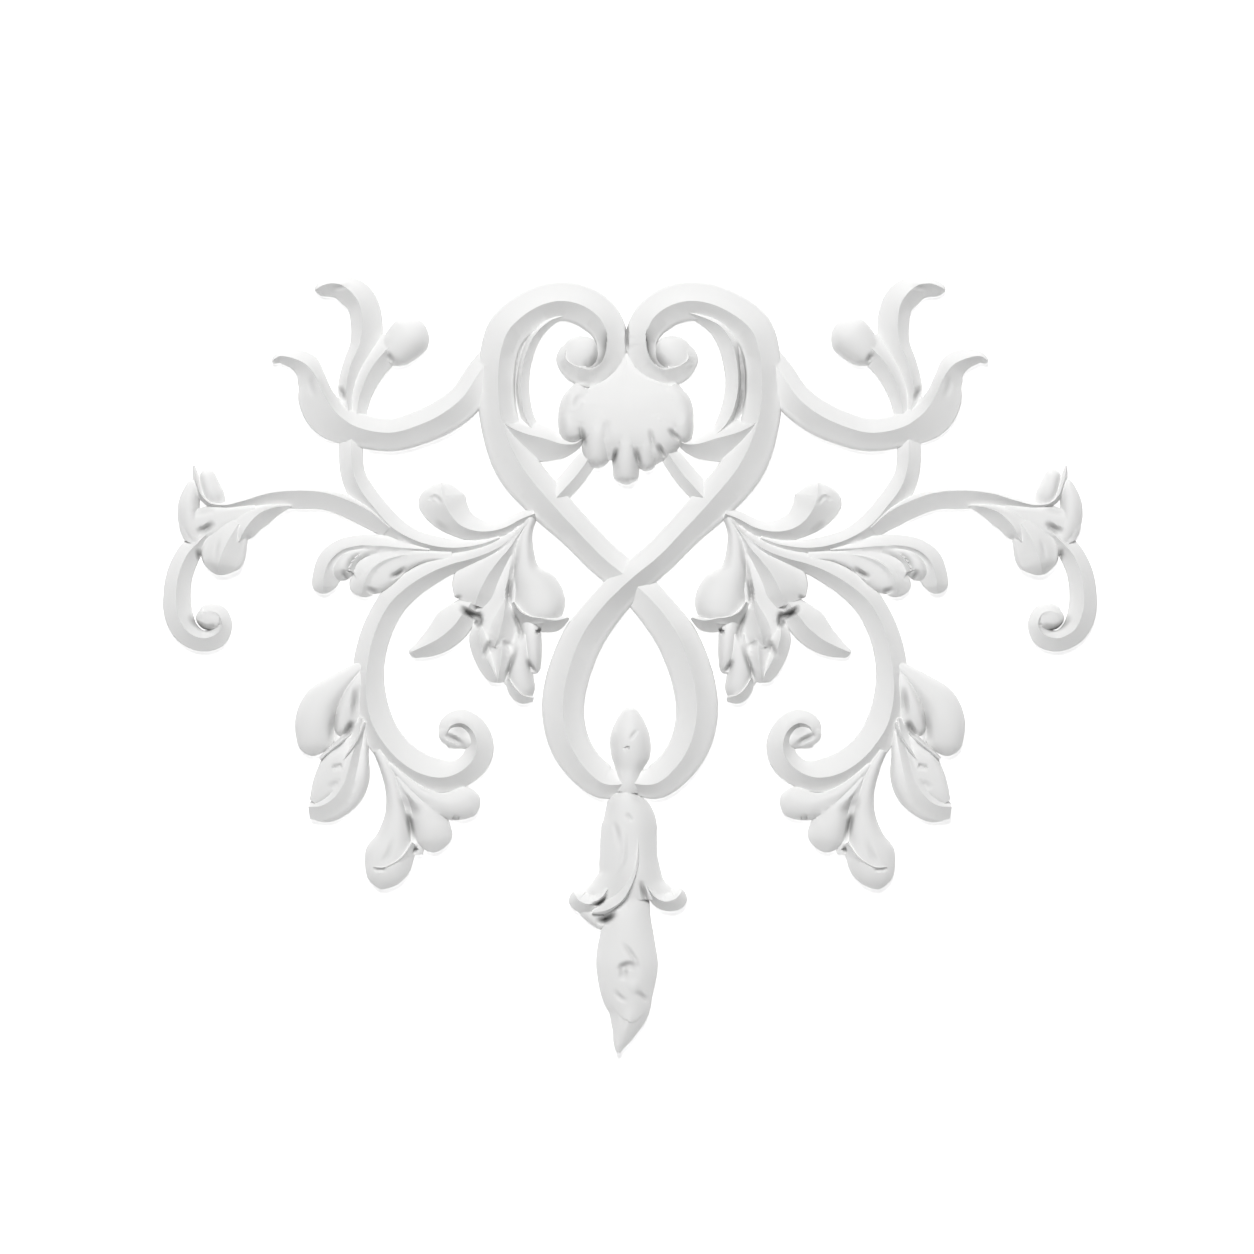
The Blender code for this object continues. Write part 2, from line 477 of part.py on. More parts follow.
def main():
    """Joins all strands into one solid and cuts its back flat."""
    for old in list(bpy.data.objects):
        bpy.data.objects.remove(old, do_unlink=True)

    applique = new_collection("floral_wall_applique", False)
    strands = new_collection("strands", True)
    cutters = new_collection("cutters", True)

    body = None
    count = 0
    for strand in (heart_ribbon(),) + STRANDS + MIDDLE:
        for side in strand.sides:
            name = strand.name
            if len(strand.sides) > 1:
                name += "_left" if side > 0 else "_right"
            data = strand_mesh(name, surface(strand, side), BURY + count * BURY_STEP)
            count += 1
            if body is None:
                body = bpy.data.objects.new("applique", data)
                applique.objects.link(body)
                continue
            obj = bpy.data.objects.new(name, data)
            strands.objects.link(obj)
            hide(obj)

    reach = OVERALL_WIDTH
    wall = box("wall", (-reach, 0.0, -reach), (reach, WALL_DEPTH, reach), cutters)
    hide(wall)

    body.data.materials.append(plaster_material())
    boolean(body, "join", "UNION", strands)
    boolean(body, "flat_back", "DIFFERENCE", cutters)


if __name__ == "__main__":
    main()
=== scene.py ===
"""Dressed model of the floral wall applique: one white primed casting on a plain wall.

The wall plane is y = 0 and the relief stands towards -y, as in the frame. Every scroll, stem,
leaf and petal is a strand: a profile carried along a ridge line that runs through a few
stations. The strands are joined into one body, which is cut flat at the wall and then
carved with strokes: creases, folds and pockets that follow a line over its front.
"""

from __future__ import annotations

import logging
import math
from collections.abc import Iterator
from dataclasses import dataclass, field, fields
from enum import Enum

import bmesh
import bpy
import numpy as np
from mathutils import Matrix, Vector


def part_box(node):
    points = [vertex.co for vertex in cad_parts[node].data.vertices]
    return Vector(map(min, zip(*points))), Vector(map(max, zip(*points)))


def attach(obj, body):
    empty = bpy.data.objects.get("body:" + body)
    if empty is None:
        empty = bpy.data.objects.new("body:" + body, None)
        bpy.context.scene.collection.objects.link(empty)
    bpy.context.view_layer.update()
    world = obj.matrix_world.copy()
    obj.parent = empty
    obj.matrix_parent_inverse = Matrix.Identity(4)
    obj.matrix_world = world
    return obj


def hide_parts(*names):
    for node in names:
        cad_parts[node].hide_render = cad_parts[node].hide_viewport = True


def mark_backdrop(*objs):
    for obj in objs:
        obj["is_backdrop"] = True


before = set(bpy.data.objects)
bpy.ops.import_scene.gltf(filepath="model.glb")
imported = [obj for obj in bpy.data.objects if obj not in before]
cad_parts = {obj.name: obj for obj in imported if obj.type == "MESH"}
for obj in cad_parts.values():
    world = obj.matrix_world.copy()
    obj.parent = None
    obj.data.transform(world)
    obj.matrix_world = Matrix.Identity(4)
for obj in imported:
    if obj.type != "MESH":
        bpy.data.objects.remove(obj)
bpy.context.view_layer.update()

logging.basicConfig(level=logging.INFO, format="%(message)s")
LOG = logging.getLogger("applique")

NODE = "applique"
MILLIMETRE = 0.001

# The drawing of the ornament is this many units wide. Stations and strokes give their places
# in these units from the ribbon crossing: outwards from the middle, then upwards.
DRAWING_WIDTH = 933.0
NODE_LOW, NODE_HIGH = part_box(NODE)
UNIT = (NODE_HIGH.x - NODE_LOW.x) / DRAWING_WIDTH

# How far the strands reach behind the wall before the back is cut flat, in metres, and the
# step that keeps their backs out of one plane.
BURY = 0.003
BURY_STEP = 0.00001

# The two top volutes meet a little left of the middle: by how many units, over which stretch
# of height it grows to that, and over which distance from the middle it fades out.
LEAN = 3.5
LEAN_FROM, LEAN_TO = 150.0, 230.0
LEAN_FADE_FROM, LEAN_FADE_TO = 60.0, 120.0

# Fineness of the casting: largest turn of a ridge between two sections, largest distance
# between them in units, sections over a round end, samples of a ridge from one station to the
# next, fewest sections of a strand, and the smallest share of a blunt end.
TURN = math.radians(6.0)
STEP = 2.4
CAP_SECTIONS = 7.0
TRACE_STEPS = 60
LEAST_SECTIONS = 4
BLUNT = 0.12
# A strand that bends tightly is kept this share inside its own centre of curvature.
TIGHTEST = 0.93
# Samples of a stroke's line from one point to the next.
STROKE_STEPS = 14

# Places across half a gable, on a wide one and on a narrow one, and the half width in units
# below which it counts as narrow.
GABLE_SHARES = (0.04, 0.12, 0.2, 0.42, 0.66, 0.8, 0.88, 0.955, 1.0)
NARROW_GABLE_SHARES = (0.06, 0.45, 0.8, 0.92, 1.0)
NARROW_GABLE = 9.0
# Where the straight fall of a gable ends, and the share of the height that is left there.
RIBBON_SHOULDER = (0.8, 0.36)
BLADE_SHOULDER = (0.86, 0.22)
# The power on the distance and the power on the result, for a full round and for a cushion.
DOME_POWERS = (2.4, 0.7)
CUSHION_POWERS = (5, 0.55)
# Width of a column on a round profile in units, and how many more columns it has.
COLUMN_WIDTH = 2.2
DOME_COLUMNS = 7

# How steeply a softened patch fades, and the share of the way that one pass moves a point.
SOFT_SLOPE = 1.4
SOFT_RATE = 0.6

# How the strands are joined, and the distance in metres below which two points become one.
SOLVER = "MANIFOLD"
MERGE = 0.00003
# No stroke carves deeper than to this height over the wall, in millimetres.
FLOOR_HEIGHT = 1.5
# The point attribute that tells how deep a point was carved, for the painted shade; full at this
# many millimetres.
SHADE_ATTRIBUTE = "painted_shade"
SHADE_FULL_DEPTH = 6.0

# The halves of the drawing: 1 is the viewer's left one, and -1 the right one. A middle part is
# written in the places of the left half and is there once.
BOTH_HALVES = (1, -1)
LEFT_HALF = (1,)
RIGHT_HALF = (-1,)
MIDDLE = LEFT_HALF

Stations = tuple[tuple[float, ...], ...]
Points = tuple[tuple[float, float], ...]


class Section(Enum):
    """The profiles that are carried along a ridge."""

    RIBBON = "gable with a rounded edge"
    BLADE = "narrow gable with a thin rounded edge"
    DOME = "full round"
    CUSHION = "flat top with a full edge"

    def columns(self, half_width: float) -> np.ndarray:
        """Places across the strand, from -1 on the left edge to 1 on the right one.

        Args:
            half_width: The strand's largest half width in drawing units.

        Returns:
            A rising array of shares of the half width.
        """
        if self in (Section.RIBBON, Section.BLADE):
            narrow = half_width < NARROW_GABLE
            outer = np.array(NARROW_GABLE_SHARES if narrow else GABLE_SHARES)
            return np.concatenate([-outer[::-1], [0.0], outer])
        count = 2 * math.ceil(half_width / COLUMN_WIDTH / 2) + DOME_COLUMNS
        return np.sin(np.linspace(-math.pi / 2, math.pi / 2, count))

    def rise(self, across: np.ndarray) -> np.ndarray:
        """Height of the profile over its edge, as a share of the ridge height.

        A gable falls in a straight line from the ridge to the shoulder and from there round a
        quarter of an ellipse to the edge. A full round and a cushion are one less a power of
        the distance, and that raised to a second power.

        Args:
            across: Shares of the half width, from -1 to 1.

        Returns:
            The share of the height at each of them.
        """
        far = np.abs(across)
        if self in (Section.RIBBON, Section.BLADE):
            shoulder, left = RIBBON_SHOULDER if self is Section.RIBBON else BLADE_SHOULDER
            line = 1 - (1 - left) * far / shoulder
            beyond = np.clip((far - shoulder) / (1 - shoulder), 0, 1)
            return np.where(far < shoulder, line, left * np.sqrt(1 - beyond**2))
        first, second = CUSHION_POWERS if self is Section.CUSHION else DOME_POWERS
        return np.clip(1 - far**first, 0, 1) ** second


def hermite(knots: np.ndarray, values: np.ndarray, at: np.ndarray) -> np.ndarray:
    """Smooth curve through values at the knots: cubic pieces with Catmull-Rom slopes.

    Args:
        knots: Rising places of the values.
        values: One row of numbers for each knot.
        at: The places to read.

    Returns:
        One row for each place that is read.
    """
    slopes = np.gradient(values, knots, axis=0)
    piece = np.clip(np.searchsorted(knots, at, side="right") - 1, 0, len(knots) - 2)
    span = (knots[piece + 1] - knots[piece])[:, None]
    t = (at - knots[piece])[:, None] / span
    return (
        values[piece] * (1 + 2 * t) * (1 - t) ** 2
        + values[piece + 1] * t**2 * (3 - 2 * t)
        + slopes[piece] * span * t * (1 - t) ** 2
        - slopes[piece + 1] * span * t**2 * (1 - t)
    )


def smooth_line(rows: np.ndarray, steps: int) -> np.ndarray:
    """The rows joined by a smooth curve, with knots set by the root of their distance.

    Args:
        rows: Rows whose first two numbers are a place in the drawing.
        steps: Samples from one row to the next.

    Returns:
        The finely sampled rows.
    """
    hops = np.linalg.norm(np.diff(rows[:, :2], axis=0), axis=1)
    knots = np.concatenate([[0.0], np.cumsum(np.sqrt(hops))])
    return hermite(knots, rows, np.linspace(0, knots[-1], steps * (len(rows) - 1) + 1))


def to_drawing(rows: np.ndarray, side: int) -> np.ndarray:
    """Moves places from (outwards, upwards) to (right, up) on one side of the drawing.

    Args:
        rows: Rows that start with outwards and upwards, in units.
        side: 1 for the viewer's left half and -1 for the right one.

    Returns:
        The rows with their first column to the right, with the lean of the top volutes.
    """
    moved = rows.copy()
    grown = np.clip((rows[:, 1] - LEAN_FROM) / (LEAN_TO - LEAN_FROM), 0, 1)
    faded = np.clip((LEAN_FADE_TO - np.abs(rows[:, 0])) / (LEAN_FADE_TO - LEAN_FADE_FROM), 0, 1)
    moved[:, 0] = -side * rows[:, 0] - LEAN * grown * faded
    return moved


@dataclass(frozen=True)
class Strand:
    """One scroll, stem, leaf or petal.

    A station is (outwards, upwards, half width on the left, half width on the right, ridge
    height). The first four are in drawing units, the height is in millimetres. Left and right
    are those of somebody who walks along the strand on the viewer's left half. A lift gives one
    station a height of its own on one side. Without sides of its own, a strand, stroke or
    softened patch is on those of its ornament.
    """

    section: Section
    stations: Stations
    edge: float = 4.0
    round_start: bool = False
    round_end: bool = False
    sides: tuple[int, ...] | None = None
    lift: tuple[tuple[int, int, float], ...] = ()

    def front(self, side: int) -> np.ndarray:
        """The strand's front: its profile carried along the ridge.

        The ridge is sampled evenly in turn and in length. Each sample takes a row of points
        square to the ridge: the distance is the share times the half width, and the height is
        the edge plus the profile's share of the ridge's height over it. A round end draws both
        in along a quarter circle.

        Args:
            side: 1 for the viewer's left half and -1 for the right one.

        Returns:
            Points in metres, rows along the ridge and columns across it.
        """
        rows = np.array(self.stations, float)
        for lifted_side, index, height in self.lift:
            if lifted_side == side:
                rows[index, 4] = height
        rows = to_drawing(rows, side)
        if side < 0:
            rows[:, [2, 3]] = rows[:, [3, 2]]
        fine = smooth_line(rows, TRACE_STEPS)
        hops = np.linalg.norm(np.diff(fine[:, :2], axis=0), axis=1)
        walked = np.concatenate([[0.0], np.cumsum(hops)])
        cap = np.ones(len(fine))
        for wanted, distance, row in (
            (self.round_start, walked, fine[0]),
            (self.round_end, walked[-1] - walked, fine[-1]),
        ):
            if wanted:
                inside = np.clip(1 - distance / ((row[2] + row[3]) / 2), 0, 1)
                cap = cap * np.maximum(np.sqrt(1 - inside**2), BLUNT)
        heading = np.gradient(fine[:, :2], walked, axis=0)
        heading /= np.linalg.norm(heading, axis=1)[:, None]
        angle = np.unwrap(np.arctan2(heading[:, 1], heading[:, 0]))
        bend = np.gradient(angle, walked)
        half = fine[:, 2:4] * cap[:, None]
        room = TIGHTEST / np.maximum(np.abs(bend), 1e-6)
        half[:, 0] = np.where(bend > 0, np.minimum(half[:, 0], room), half[:, 0])
        half[:, 1] = np.where(bend < 0, np.minimum(half[:, 1], room), half[:, 1])
        cost = np.abs(np.diff(angle)) / TURN + hops / STEP + CAP_SECTIONS * np.abs(np.diff(cap))
        cost = np.concatenate([[0.0], np.cumsum(cost)])
        count = max(LEAST_SECTIONS, math.ceil(cost[-1]) + 1)
        at = np.interp(np.linspace(0, cost[-1], count), cost, np.arange(len(cost)))
        # Right, up, half widths on the left and right, height, cap, and heading right and up.
        table = np.column_stack([fine[:, :2], half, fine[:, 4], cap, heading])
        table = np.column_stack([np.interp(at, np.arange(len(table)), line) for line in table.T])
        share = self.section.columns(float(table[:, 2:4].max()))
        reach = share[None, :] * np.where(share[None, :] < 0, table[:, 2:3], table[:, 3:4])
        turned = table[:, 6:8] / np.linalg.norm(table[:, 6:8], axis=1)[:, None]
        right = table[:, 0:1] + reach * turned[:, 1:2]
        up = table[:, 1:2] - reach * turned[:, 0:1]
        rise = self.section.rise(share)[None, :] * (table[:, 4:5] - self.edge) * table[:, 5:6]
        return np.dstack([right * UNIT, -(self.edge + rise) * MILLIMETRE, up * UNIT])

    def body(self, name: str, side: int, back: float) -> bpy.types.Object:
        """The closed body of one strand: its front, its sides and a flat back.

        Args:
            name: What the strand is called in its ornament.
            side: 1 for the viewer's left half and -1 for the right one.
            back: Where its back lies along y, in metres.

        Returns:
            A new object with that mesh, in no collection yet.
        """
        grid = self.front(side)
        rows, columns = grid.shape[:2]
        rear = grid[:, [0, -1]].copy()
        rear[:, :, 1] = back
        points = np.concatenate([grid.reshape(-1, 3), rear.reshape(-1, 3)])
        front = np.arange(rows * columns).reshape(rows, columns)
        behind = rows * columns + np.arange(rows * 2).reshape(rows, 2)
        ring = np.column_stack([behind[:, 0], front, behind[:, 1]])
        quads = np.stack([ring[:-1, :-1], ring[:-1, 1:], ring[1:, 1:], ring[1:, :-1]], axis=-1)
        closing = np.stack([behind[:-1, 1], behind[:-1, 0], behind[1:, 0], behind[1:, 1]], axis=-1)
        faces = np.concatenate([quads.reshape(-1, 4), closing]).tolist()
        faces += [ring[0, ::-1].tolist(), ring[-1].tolist()]
        mesh = bpy.data.meshes.new(name)
        mesh.from_pydata(points.tolist(), [], faces)
        return bpy.data.objects.new(f"blank_{name}_{'left' if side > 0 else 'right'}", mesh)


@dataclass(frozen=True)
class Stroke:
    """A line carved over the front of the casting.

    Points are (outwards, upwards) in drawing units. A groove pushes the surface back by the
    depth on the line and fades to nothing at the width; a negative depth makes a raised line.
    A fold is deepest just beside the line, on the side that somebody who walks along it on the
    viewer's left half has at the right, and fades across the width; the other side stays.
    """

    points: Points
    depth: float
    width: float
    fold: bool = False
    taper: float = 0.45
    sides: tuple[int, ...] | None = None

    def line(self, side: int) -> np.ndarray:
        """The stroke's finely sampled line in drawing units, right and up."""
        rows = np.array(self.points, float)
        return smooth_line(to_drawing(rows, side), STROKE_STEPS)

    def shift(self, places: np.ndarray, side: int) -> tuple[np.ndarray, np.ndarray]:
        """How far the stroke pushes points back.

        The distance to the line is scaled by the width. A groove takes one less its square,
        squared. A fold takes one less the distance, squared, on one side of the line only.
        Both fade towards the ends of the line along a smooth step.

        Args:
            places: Right and up of the points, in drawing units.
            side: 1 for the viewer's left half and -1 for the right one.

        Returns:
            The indices of the points it reaches, and their shift in millimetres.
        """
        line = self.line(side)
        low, high = line.min(axis=0) - self.width, line.max(axis=0) + self.width
        near = np.nonzero(np.all((places > low) & (places < high), axis=1))[0]
        if not len(near):
            return near, np.zeros(0)
        here = places[near]
        start, step = line[:-1], np.diff(line, axis=0)
        length = np.maximum((step**2).sum(axis=1), 1e-9)
        offset = here[:, None, :] - start[None, :, :]
        along = np.clip((offset * step[None]).sum(axis=2) / length, 0, 1)
        gap = offset - along[:, :, None] * step[None]
        distance = np.linalg.norm(gap, axis=2)
        pick = distance.argmin(axis=1)
        row = np.arange(len(here))
        far = distance[row, pick] / self.width
        walked = (pick + along[row, pick]) / len(start)
        ends = np.clip(np.minimum(walked, 1 - walked) / max(self.taper, 1e-3), 0, 1)
        fade = ends**2 * (3 - 2 * ends)
        if self.fold:
            cross = step[pick, 0] * gap[row, pick, 1] - step[pick, 1] * gap[row, pick, 0]
            amount = np.where(cross * side <= 0, np.clip(1 - far, 0, 1) ** 2, 0.0)
        else:
            amount = np.clip(1 - far**2, 0, 1) ** 2
        return near, self.depth * fade * amount


@dataclass(frozen=True)
class Softening:
    """A round patch whose surface is smoothed, so that its strands melt into one form."""

    centre: tuple[float, float]
    radius: float
    passes: int = 12
    sides: tuple[int, ...] | None = None

    def weight(self, places: np.ndarray, side: int) -> np.ndarray:
        """One in the middle of the patch, falling to nothing at its radius."""
        centre = to_drawing(np.array([self.centre], float), side)[0]
        far = np.linalg.norm(places - centre, axis=1) / self.radius
        return np.clip(SOFT_SLOPE * (1 - far), 0, 1)


@dataclass
class Ornament:
    """A group of strands, strokes and softened patches that belong together."""

    sides: tuple[int, ...] = BOTH_HALVES

    def placed(self, kind: type) -> Iterator[tuple[str, Strand | Stroke | Softening, int]]:
        """Every part of one kind, in order and once for each of its sides.

        Args:
            kind: Strand, Stroke or Softening.

        Yields:
            The part's name, the part and the side.
        """
        for each in fields(self):
            part = getattr(self, each.name)
            if isinstance(part, kind):
                for side in part.sides or self.sides:
                    yield each.name, part, side

    def blanks(self, first_back: float) -> list[bpy.types.Object]:
        """The closed bodies of the group's strands.

        Args:
            first_back: Where the back of the first body lies; the next ones lie a step on.

        Returns:
            One object for each strand and side.
        """
        bodies: list[bpy.types.Object] = []
        for name, strand, side in self.placed(Strand):
            bodies.append(strand.body(name, side, first_back + len(bodies) * BURY_STEP))
        return bodies


@dataclass
class HeartRibbon(Ornament):
    """The heart ribbon: two mirrored bands that cross, the right one over the left, each with
    a knob inside its volute."""

    heart_ribbon: Strand = Strand(Section.RIBBON, (
        (53, 233, 4, 5, 9), (60, 227, 5, 7, 11), (61.5, 219, 5, 10, 12.5), (54, 212.5, 5, 15, 13),
        (45, 209, 5, 17, 13.5), (35.5, 207.8, 6, 18, 13.5), (24.3, 216.5, 8, 19, 14),
        (19.1, 236, 12, 20.5, 14.5), (24.9, 256, 18, 20.5, 15), (41, 270, 19.5, 20.5, 15.5),
        (65, 276, 19.5, 20.5, 16), (91.5, 269.5, 19, 21, 16), (120, 248, 19, 22, 16),
        (129, 224, 17, 21, 16), (131.5, 197, 17, 20, 16), (128, 158, 17, 22, 16),
        (110, 114, 18, 26, 16), (78, 74, 18, 23, 16), (54, 48, 17, 19, 16), (28, 21, 17, 18, 16),
        (0, -2, 17, 19, 16), (-30, -32, 16.5, 22, 16), (-50, -62, 19, 23, 16),
        (-64, -104, 21, 22, 16), (-66.5, -137, 21.5, 21, 16), (-59, -167.6, 20.5, 20, 16),
        (-43.6, -191.4, 18, 19.5, 15.5), (-26, -205, 16, 19, 15), (-10, -206, 12, 14, 14),
        (6, -202, 9, 10, 12)), lift=((1, 19, 14.5), (1, 20, 13.0), (1, 21, 14.5), (-1, 19, 18.0),
        (-1, 20, 20.0), (-1, 21, 18.0)))
    knob: Strand = Strand(Section.DOME, (
        (62, 205, 8, 8, 9), (55, 215, 16, 17, 12.5), (46, 224, 19, 20, 13.5),
        (33, 238, 12, 12, 12)), round_start=True, round_end=True)
    volute_pocket: Stroke = Stroke(
        ((21, 252), (19.5, 236), (24.3, 217.5), (35.5, 209.5), (47, 212.5)), 8.0, 14.0, fold=True,
        taper=0.4)
    middle_slit: Stroke = Stroke(
        ((-0.5, 256), (-0.5, 242), (-0.5, 225)), 5.0, 2.2, taper=0.3, sides=MIDDLE)


@dataclass
class HeartLining(Ornament):
    """The band inside each heart lobe, the blade that leaves it for the shell, and its brace."""

    band_left: Strand = Strand(Section.BLADE, (
        (62, 262, 3, 4, 9), (78, 256, 5, 6, 11), (95, 240, 7, 6, 11.5), (106, 213, 8, 5, 11.5),
        (109, 187, 9, 5, 11.5), (106, 166, 9, 5, 11.5), (99, 150, 8, 5, 11), (88, 139, 4, 5, 10)),
        edge=3.5, sides=LEFT_HALF)
    band_right: Strand = Strand(Section.BLADE, (
        (58, 266, 3, 6, 10), (77.6, 259, 8, 9, 12), (91.7, 251, 12, 10, 12.5),
        (102, 236, 14, 7, 12.5), (106.8, 218, 14, 3.5, 12.5), (108.4, 198, 13, 3, 12.5),
        (106.3, 178, 13, 3, 12.5), (100, 160, 12, 4, 12.5), (88, 145, 8, 5, 12),
        (75, 137, 4, 3, 11)), edge=3.5, sides=RIGHT_HALF)
    slot_bed: Strand = Strand(Section.DOME, (
        (88, 262, 9, 9, 5), (106, 240, 9, 9, 5), (112, 200, 9, 9, 5), (108, 165, 9, 9, 5),
        (96, 148, 8, 8, 5)), edge=2.0)
    heart_blade: Strand = Strand(Section.BLADE, (
        (129, 158, 2, 3, 15), (120, 150.5, 9, 15, 16), (105, 144, 14, 20, 16),
        (86, 139, 13, 24, 15), (67, 133.5, 8, 15, 13), (54, 134, 4, 6, 12), (46, 140, 1, 1, 11)))
    heart_brace: Strand = Strand(Section.BLADE, (
        (38, 125, 8, 8, 11), (41, 119.6, 9, 11, 11.5), (54, 101.6, 10, 13, 12),
        (68, 86, 10, 13, 12.5), (84, 68, 9, 12, 12)))
    right_slot: Stroke = Stroke(
        ((106, 235), (110, 224), (112.6, 210), (113.3, 196), (112.6, 183), (109.6, 170),
        (104.6, 159), (97, 150)), 9.0, 4.2, sides=RIGHT_HALF)
    left_groove: Stroke = Stroke(
        ((90, 250), (105, 231), (112.4, 208), (114, 188), (111, 168), (104, 152)), 2.4, 3.0,
        sides=LEFT_HALF)


@dataclass
class Crest(Ornament):
    """The side ribbon with the wing leaf, the crest leaf and its bud on a stem."""

    side_ribbon: Strand = Strand(Section.RIBBON, (
        (126, 240, 12, 8, 7), (139, 221, 17, 12, 8), (150, 205.6, 20, 13.5, 10),
        (167, 180, 20.5, 14.5, 14), (188, 163, 20, 15.5, 15.8), (212, 151.6, 19, 15.5, 15.5),
        (236, 145, 18.5, 15, 15), (260, 146.8, 18.5, 15, 14.5), (281.6, 155.2, 20, 14, 14),
        (298, 170, 18, 12, 12)))
    wing_leaf: Strand = Strand(Section.BLADE, (
        (268, 147, 16, 12, 12), (281, 155, 24, 13, 14.5), (295, 167, 29, 12, 15),
        (305, 183, 28, 9, 15), (313, 200, 21, 9, 14.5), (322, 212, 16, 12, 14),
        (336, 219, 10, 10, 13), (350, 221, 7, 5, 11.5), (358, 216, 3, 2, 9)), round_end=True)
    crest_leaf: Strand = Strand(Section.BLADE, (
        (276, 150, 8, 8, 6), (281, 168, 8, 8, 8), (283, 190, 9, 11, 11.5), (278, 213, 9, 17, 12.5),
        (270, 233, 10, 20, 13), (267, 252, 12, 20, 14), (269.6, 272, 13, 18.5, 15),
        (277, 284, 15, 16, 15.5), (288, 292, 14, 10, 15.5), (299, 293.5, 13, 6, 14.5),
        (308, 291, 11, 5, 13), (315, 287, 8, 4, 11)), round_end=True)
    bud_stem: Strand = Strand(Section.BLADE, (
        (272, 152, 9, 8, 6), (272, 170, 10, 10, 8.5), (267, 190, 13, 12, 11.5),
        (258, 209, 15, 14, 13), (247, 223, 15, 15, 14), (236, 234, 15, 14, 14)))
    crest_bud: Strand = Strand(Section.DOME, (
        (242, 214, 11, 13, 12), (234, 226, 18, 18, 15), (221, 240, 21.5, 21, 16.5),
        (207, 255, 19, 18, 14)), round_start=True, round_end=True)
    crest_bed: Strand = Strand(Section.DOME, (
        (289, 172, 6, 6, 6), (278, 180, 10, 10, 7), (268, 186, 6, 6, 6)))
    bud_notch: Stroke = Stroke(((243, 225), (239, 219), (236, 213)), 3.0, 4.0)
    leaf_pocket: Stroke = Stroke(((290, 193), (287, 183), (285, 174)), 4.0, 4.6)
    wing_fold: Stroke = Stroke(((317, 206), (318, 192), (312, 176)), 1.0, 5.0)
    wing_hollow: Stroke = Stroke(((304, 208), (300, 196), (290, 184), (280, 176)), 1.2, 5.0)
    tip_curl: Stroke = Stroke(((276, 291), (288, 290), (300, 288)), 1.2, 4.0)


@dataclass
class Stems(Ornament):
    """The three stems between the heart and the flower, and the knob."""

    knob_stem: Strand = Strand(Section.BLADE, (
        (95, 64, 6, 6, 13), (108, 59, 8, 8, 13), (123, 51, 8.5, 9, 12.5), (138, 46.8, 9, 10, 12),
        (153.5, 46.8, 10.5, 14, 12.5), (168, 52, 13, 17, 13), (179, 63, 20, 20, 14),
        (186, 78, 26, 22, 15), (188, 96, 20, 16, 13)), round_end=True)
    upper_stem: Strand = Strand(Section.BLADE, (
        (278, 150, 9, 11, 6), (278, 129, 11, 13, 10.5), (276, 106, 11, 13.5, 12.5),
        (269.5, 89, 12.5, 14, 12.5), (257, 72, 12.5, 12, 12.5), (238, 51, 12.5, 12, 12.5),
        (217, 38.6, 10.6, 9, 12.5), (196, 32, 10.5, 6, 12), (175, 30, 8.6, 5, 11),
        (150, 33.3, 6, 5, 10), (130, 40, 4, 4, 9)))
    knob_spiral: Stroke = Stroke(((202, 76), (195, 81), (186, 73)), 1.3, 3.2, taper=0.3)
    knob_shadow: Stroke = Stroke(((197, 58), (189, 49), (178, 40)), 1.6, 7.0)
    melt: Softening = Softening((191, 88), 17.0, 12)
    flower_stem: Strand = Strand(Section.BLADE, (
        (240, 50, 12, 8, 12), (259, 66, 17, 7, 12.5), (282, 77.5, 17, 5, 12.5),
        (305, 85, 17, 4, 12.5), (333, 87, 18, 4, 12.5), (362, 84, 15, 4, 12.5),
        (385, 77, 9, 4, 12.5), (405, 72.5, 6, 4, 12.5), (420, 75, 4, 5, 12.5), (428, 83, 4, 5, 12),
        (433, 96, 4, 5, 11), (436, 112.5, 1, 1, 8)))


@dataclass
class CurlLeaf(Ornament):
    """The curled leaf under the flower stem: a rolled rim over two folds, one in the other."""

    curl_rim: Strand = Strand(Section.BLADE, (
        (200, 28, 4, 4, 9), (228, 30, 8, 10, 12), (250, 32, 10, 11, 13), (272, 32, 13, 11, 14),
        (288, 27, 16, 12, 14.5), (299, 17, 17, 13, 14.5), (305, 3, 17, 12, 14),
        (306, -9, 13, 12, 12.5), (306, -16, 10, 11, 10)), edge=5.0, round_end=True)
    curl_bed: Strand = Strand(Section.CUSHION, (
        (178, 22, 5, 5, 8), (203, 22, 6, 6, 9), (226, 18, 12, 12, 10.5), (246, 10, 20, 18, 11.5),
        (262, 2, 20, 20, 11), (272, -3, 14, 14, 9)))
    curl_fold: Strand = Strand(Section.DOME, (
        (252, 28, 5, 4, 11), (267, 26, 8, 6, 13), (280, 20, 12, 10, 14.2), (288, 9, 14, 11, 14.5),
        (288, -3, 12, 10, 10)), edge=5.0, round_end=True)
    curl_leaf: Strand = Strand(Section.BLADE, (
        (212, 24, 3, 3, 8), (230, 22, 8, 5, 12), (246, 17, 13, 6, 13.2), (258, 8, 17, 9, 13.5),
        (265, -5, 19, 15, 13), (268, -19, 15, 18, 10)), edge=5.0, round_end=True)
    rim_crease: Stroke = Stroke(((272, 30), (287, 26), (297, 16), (302, 4)), 1.6, 4.5)
    fold_crease: Stroke = Stroke(((264, 26), (273, 21), (279, 12), (281, 0)), 2.4, 7.0, fold=True)
    ball_pocket: Stroke = Stroke(((288, 9), (284, 2), (279, -4)), 3.4, 3.8)
    leaf_pocket: Stroke = Stroke(((241, -1), (232, 4), (222, 11)), 5.0, 4.0)
    end_pocket: Stroke = Stroke(((264, -10), (257, -13), (250, -14)), 3.0, 4.0)
    melt: Softening = Softening((232, 26), 18.0, 14)
    melt_rim: Softening = Softening((252, 31), 16.0, 14)
    melt_folds: Softening = Softening((264, 12), 26.0, 3)


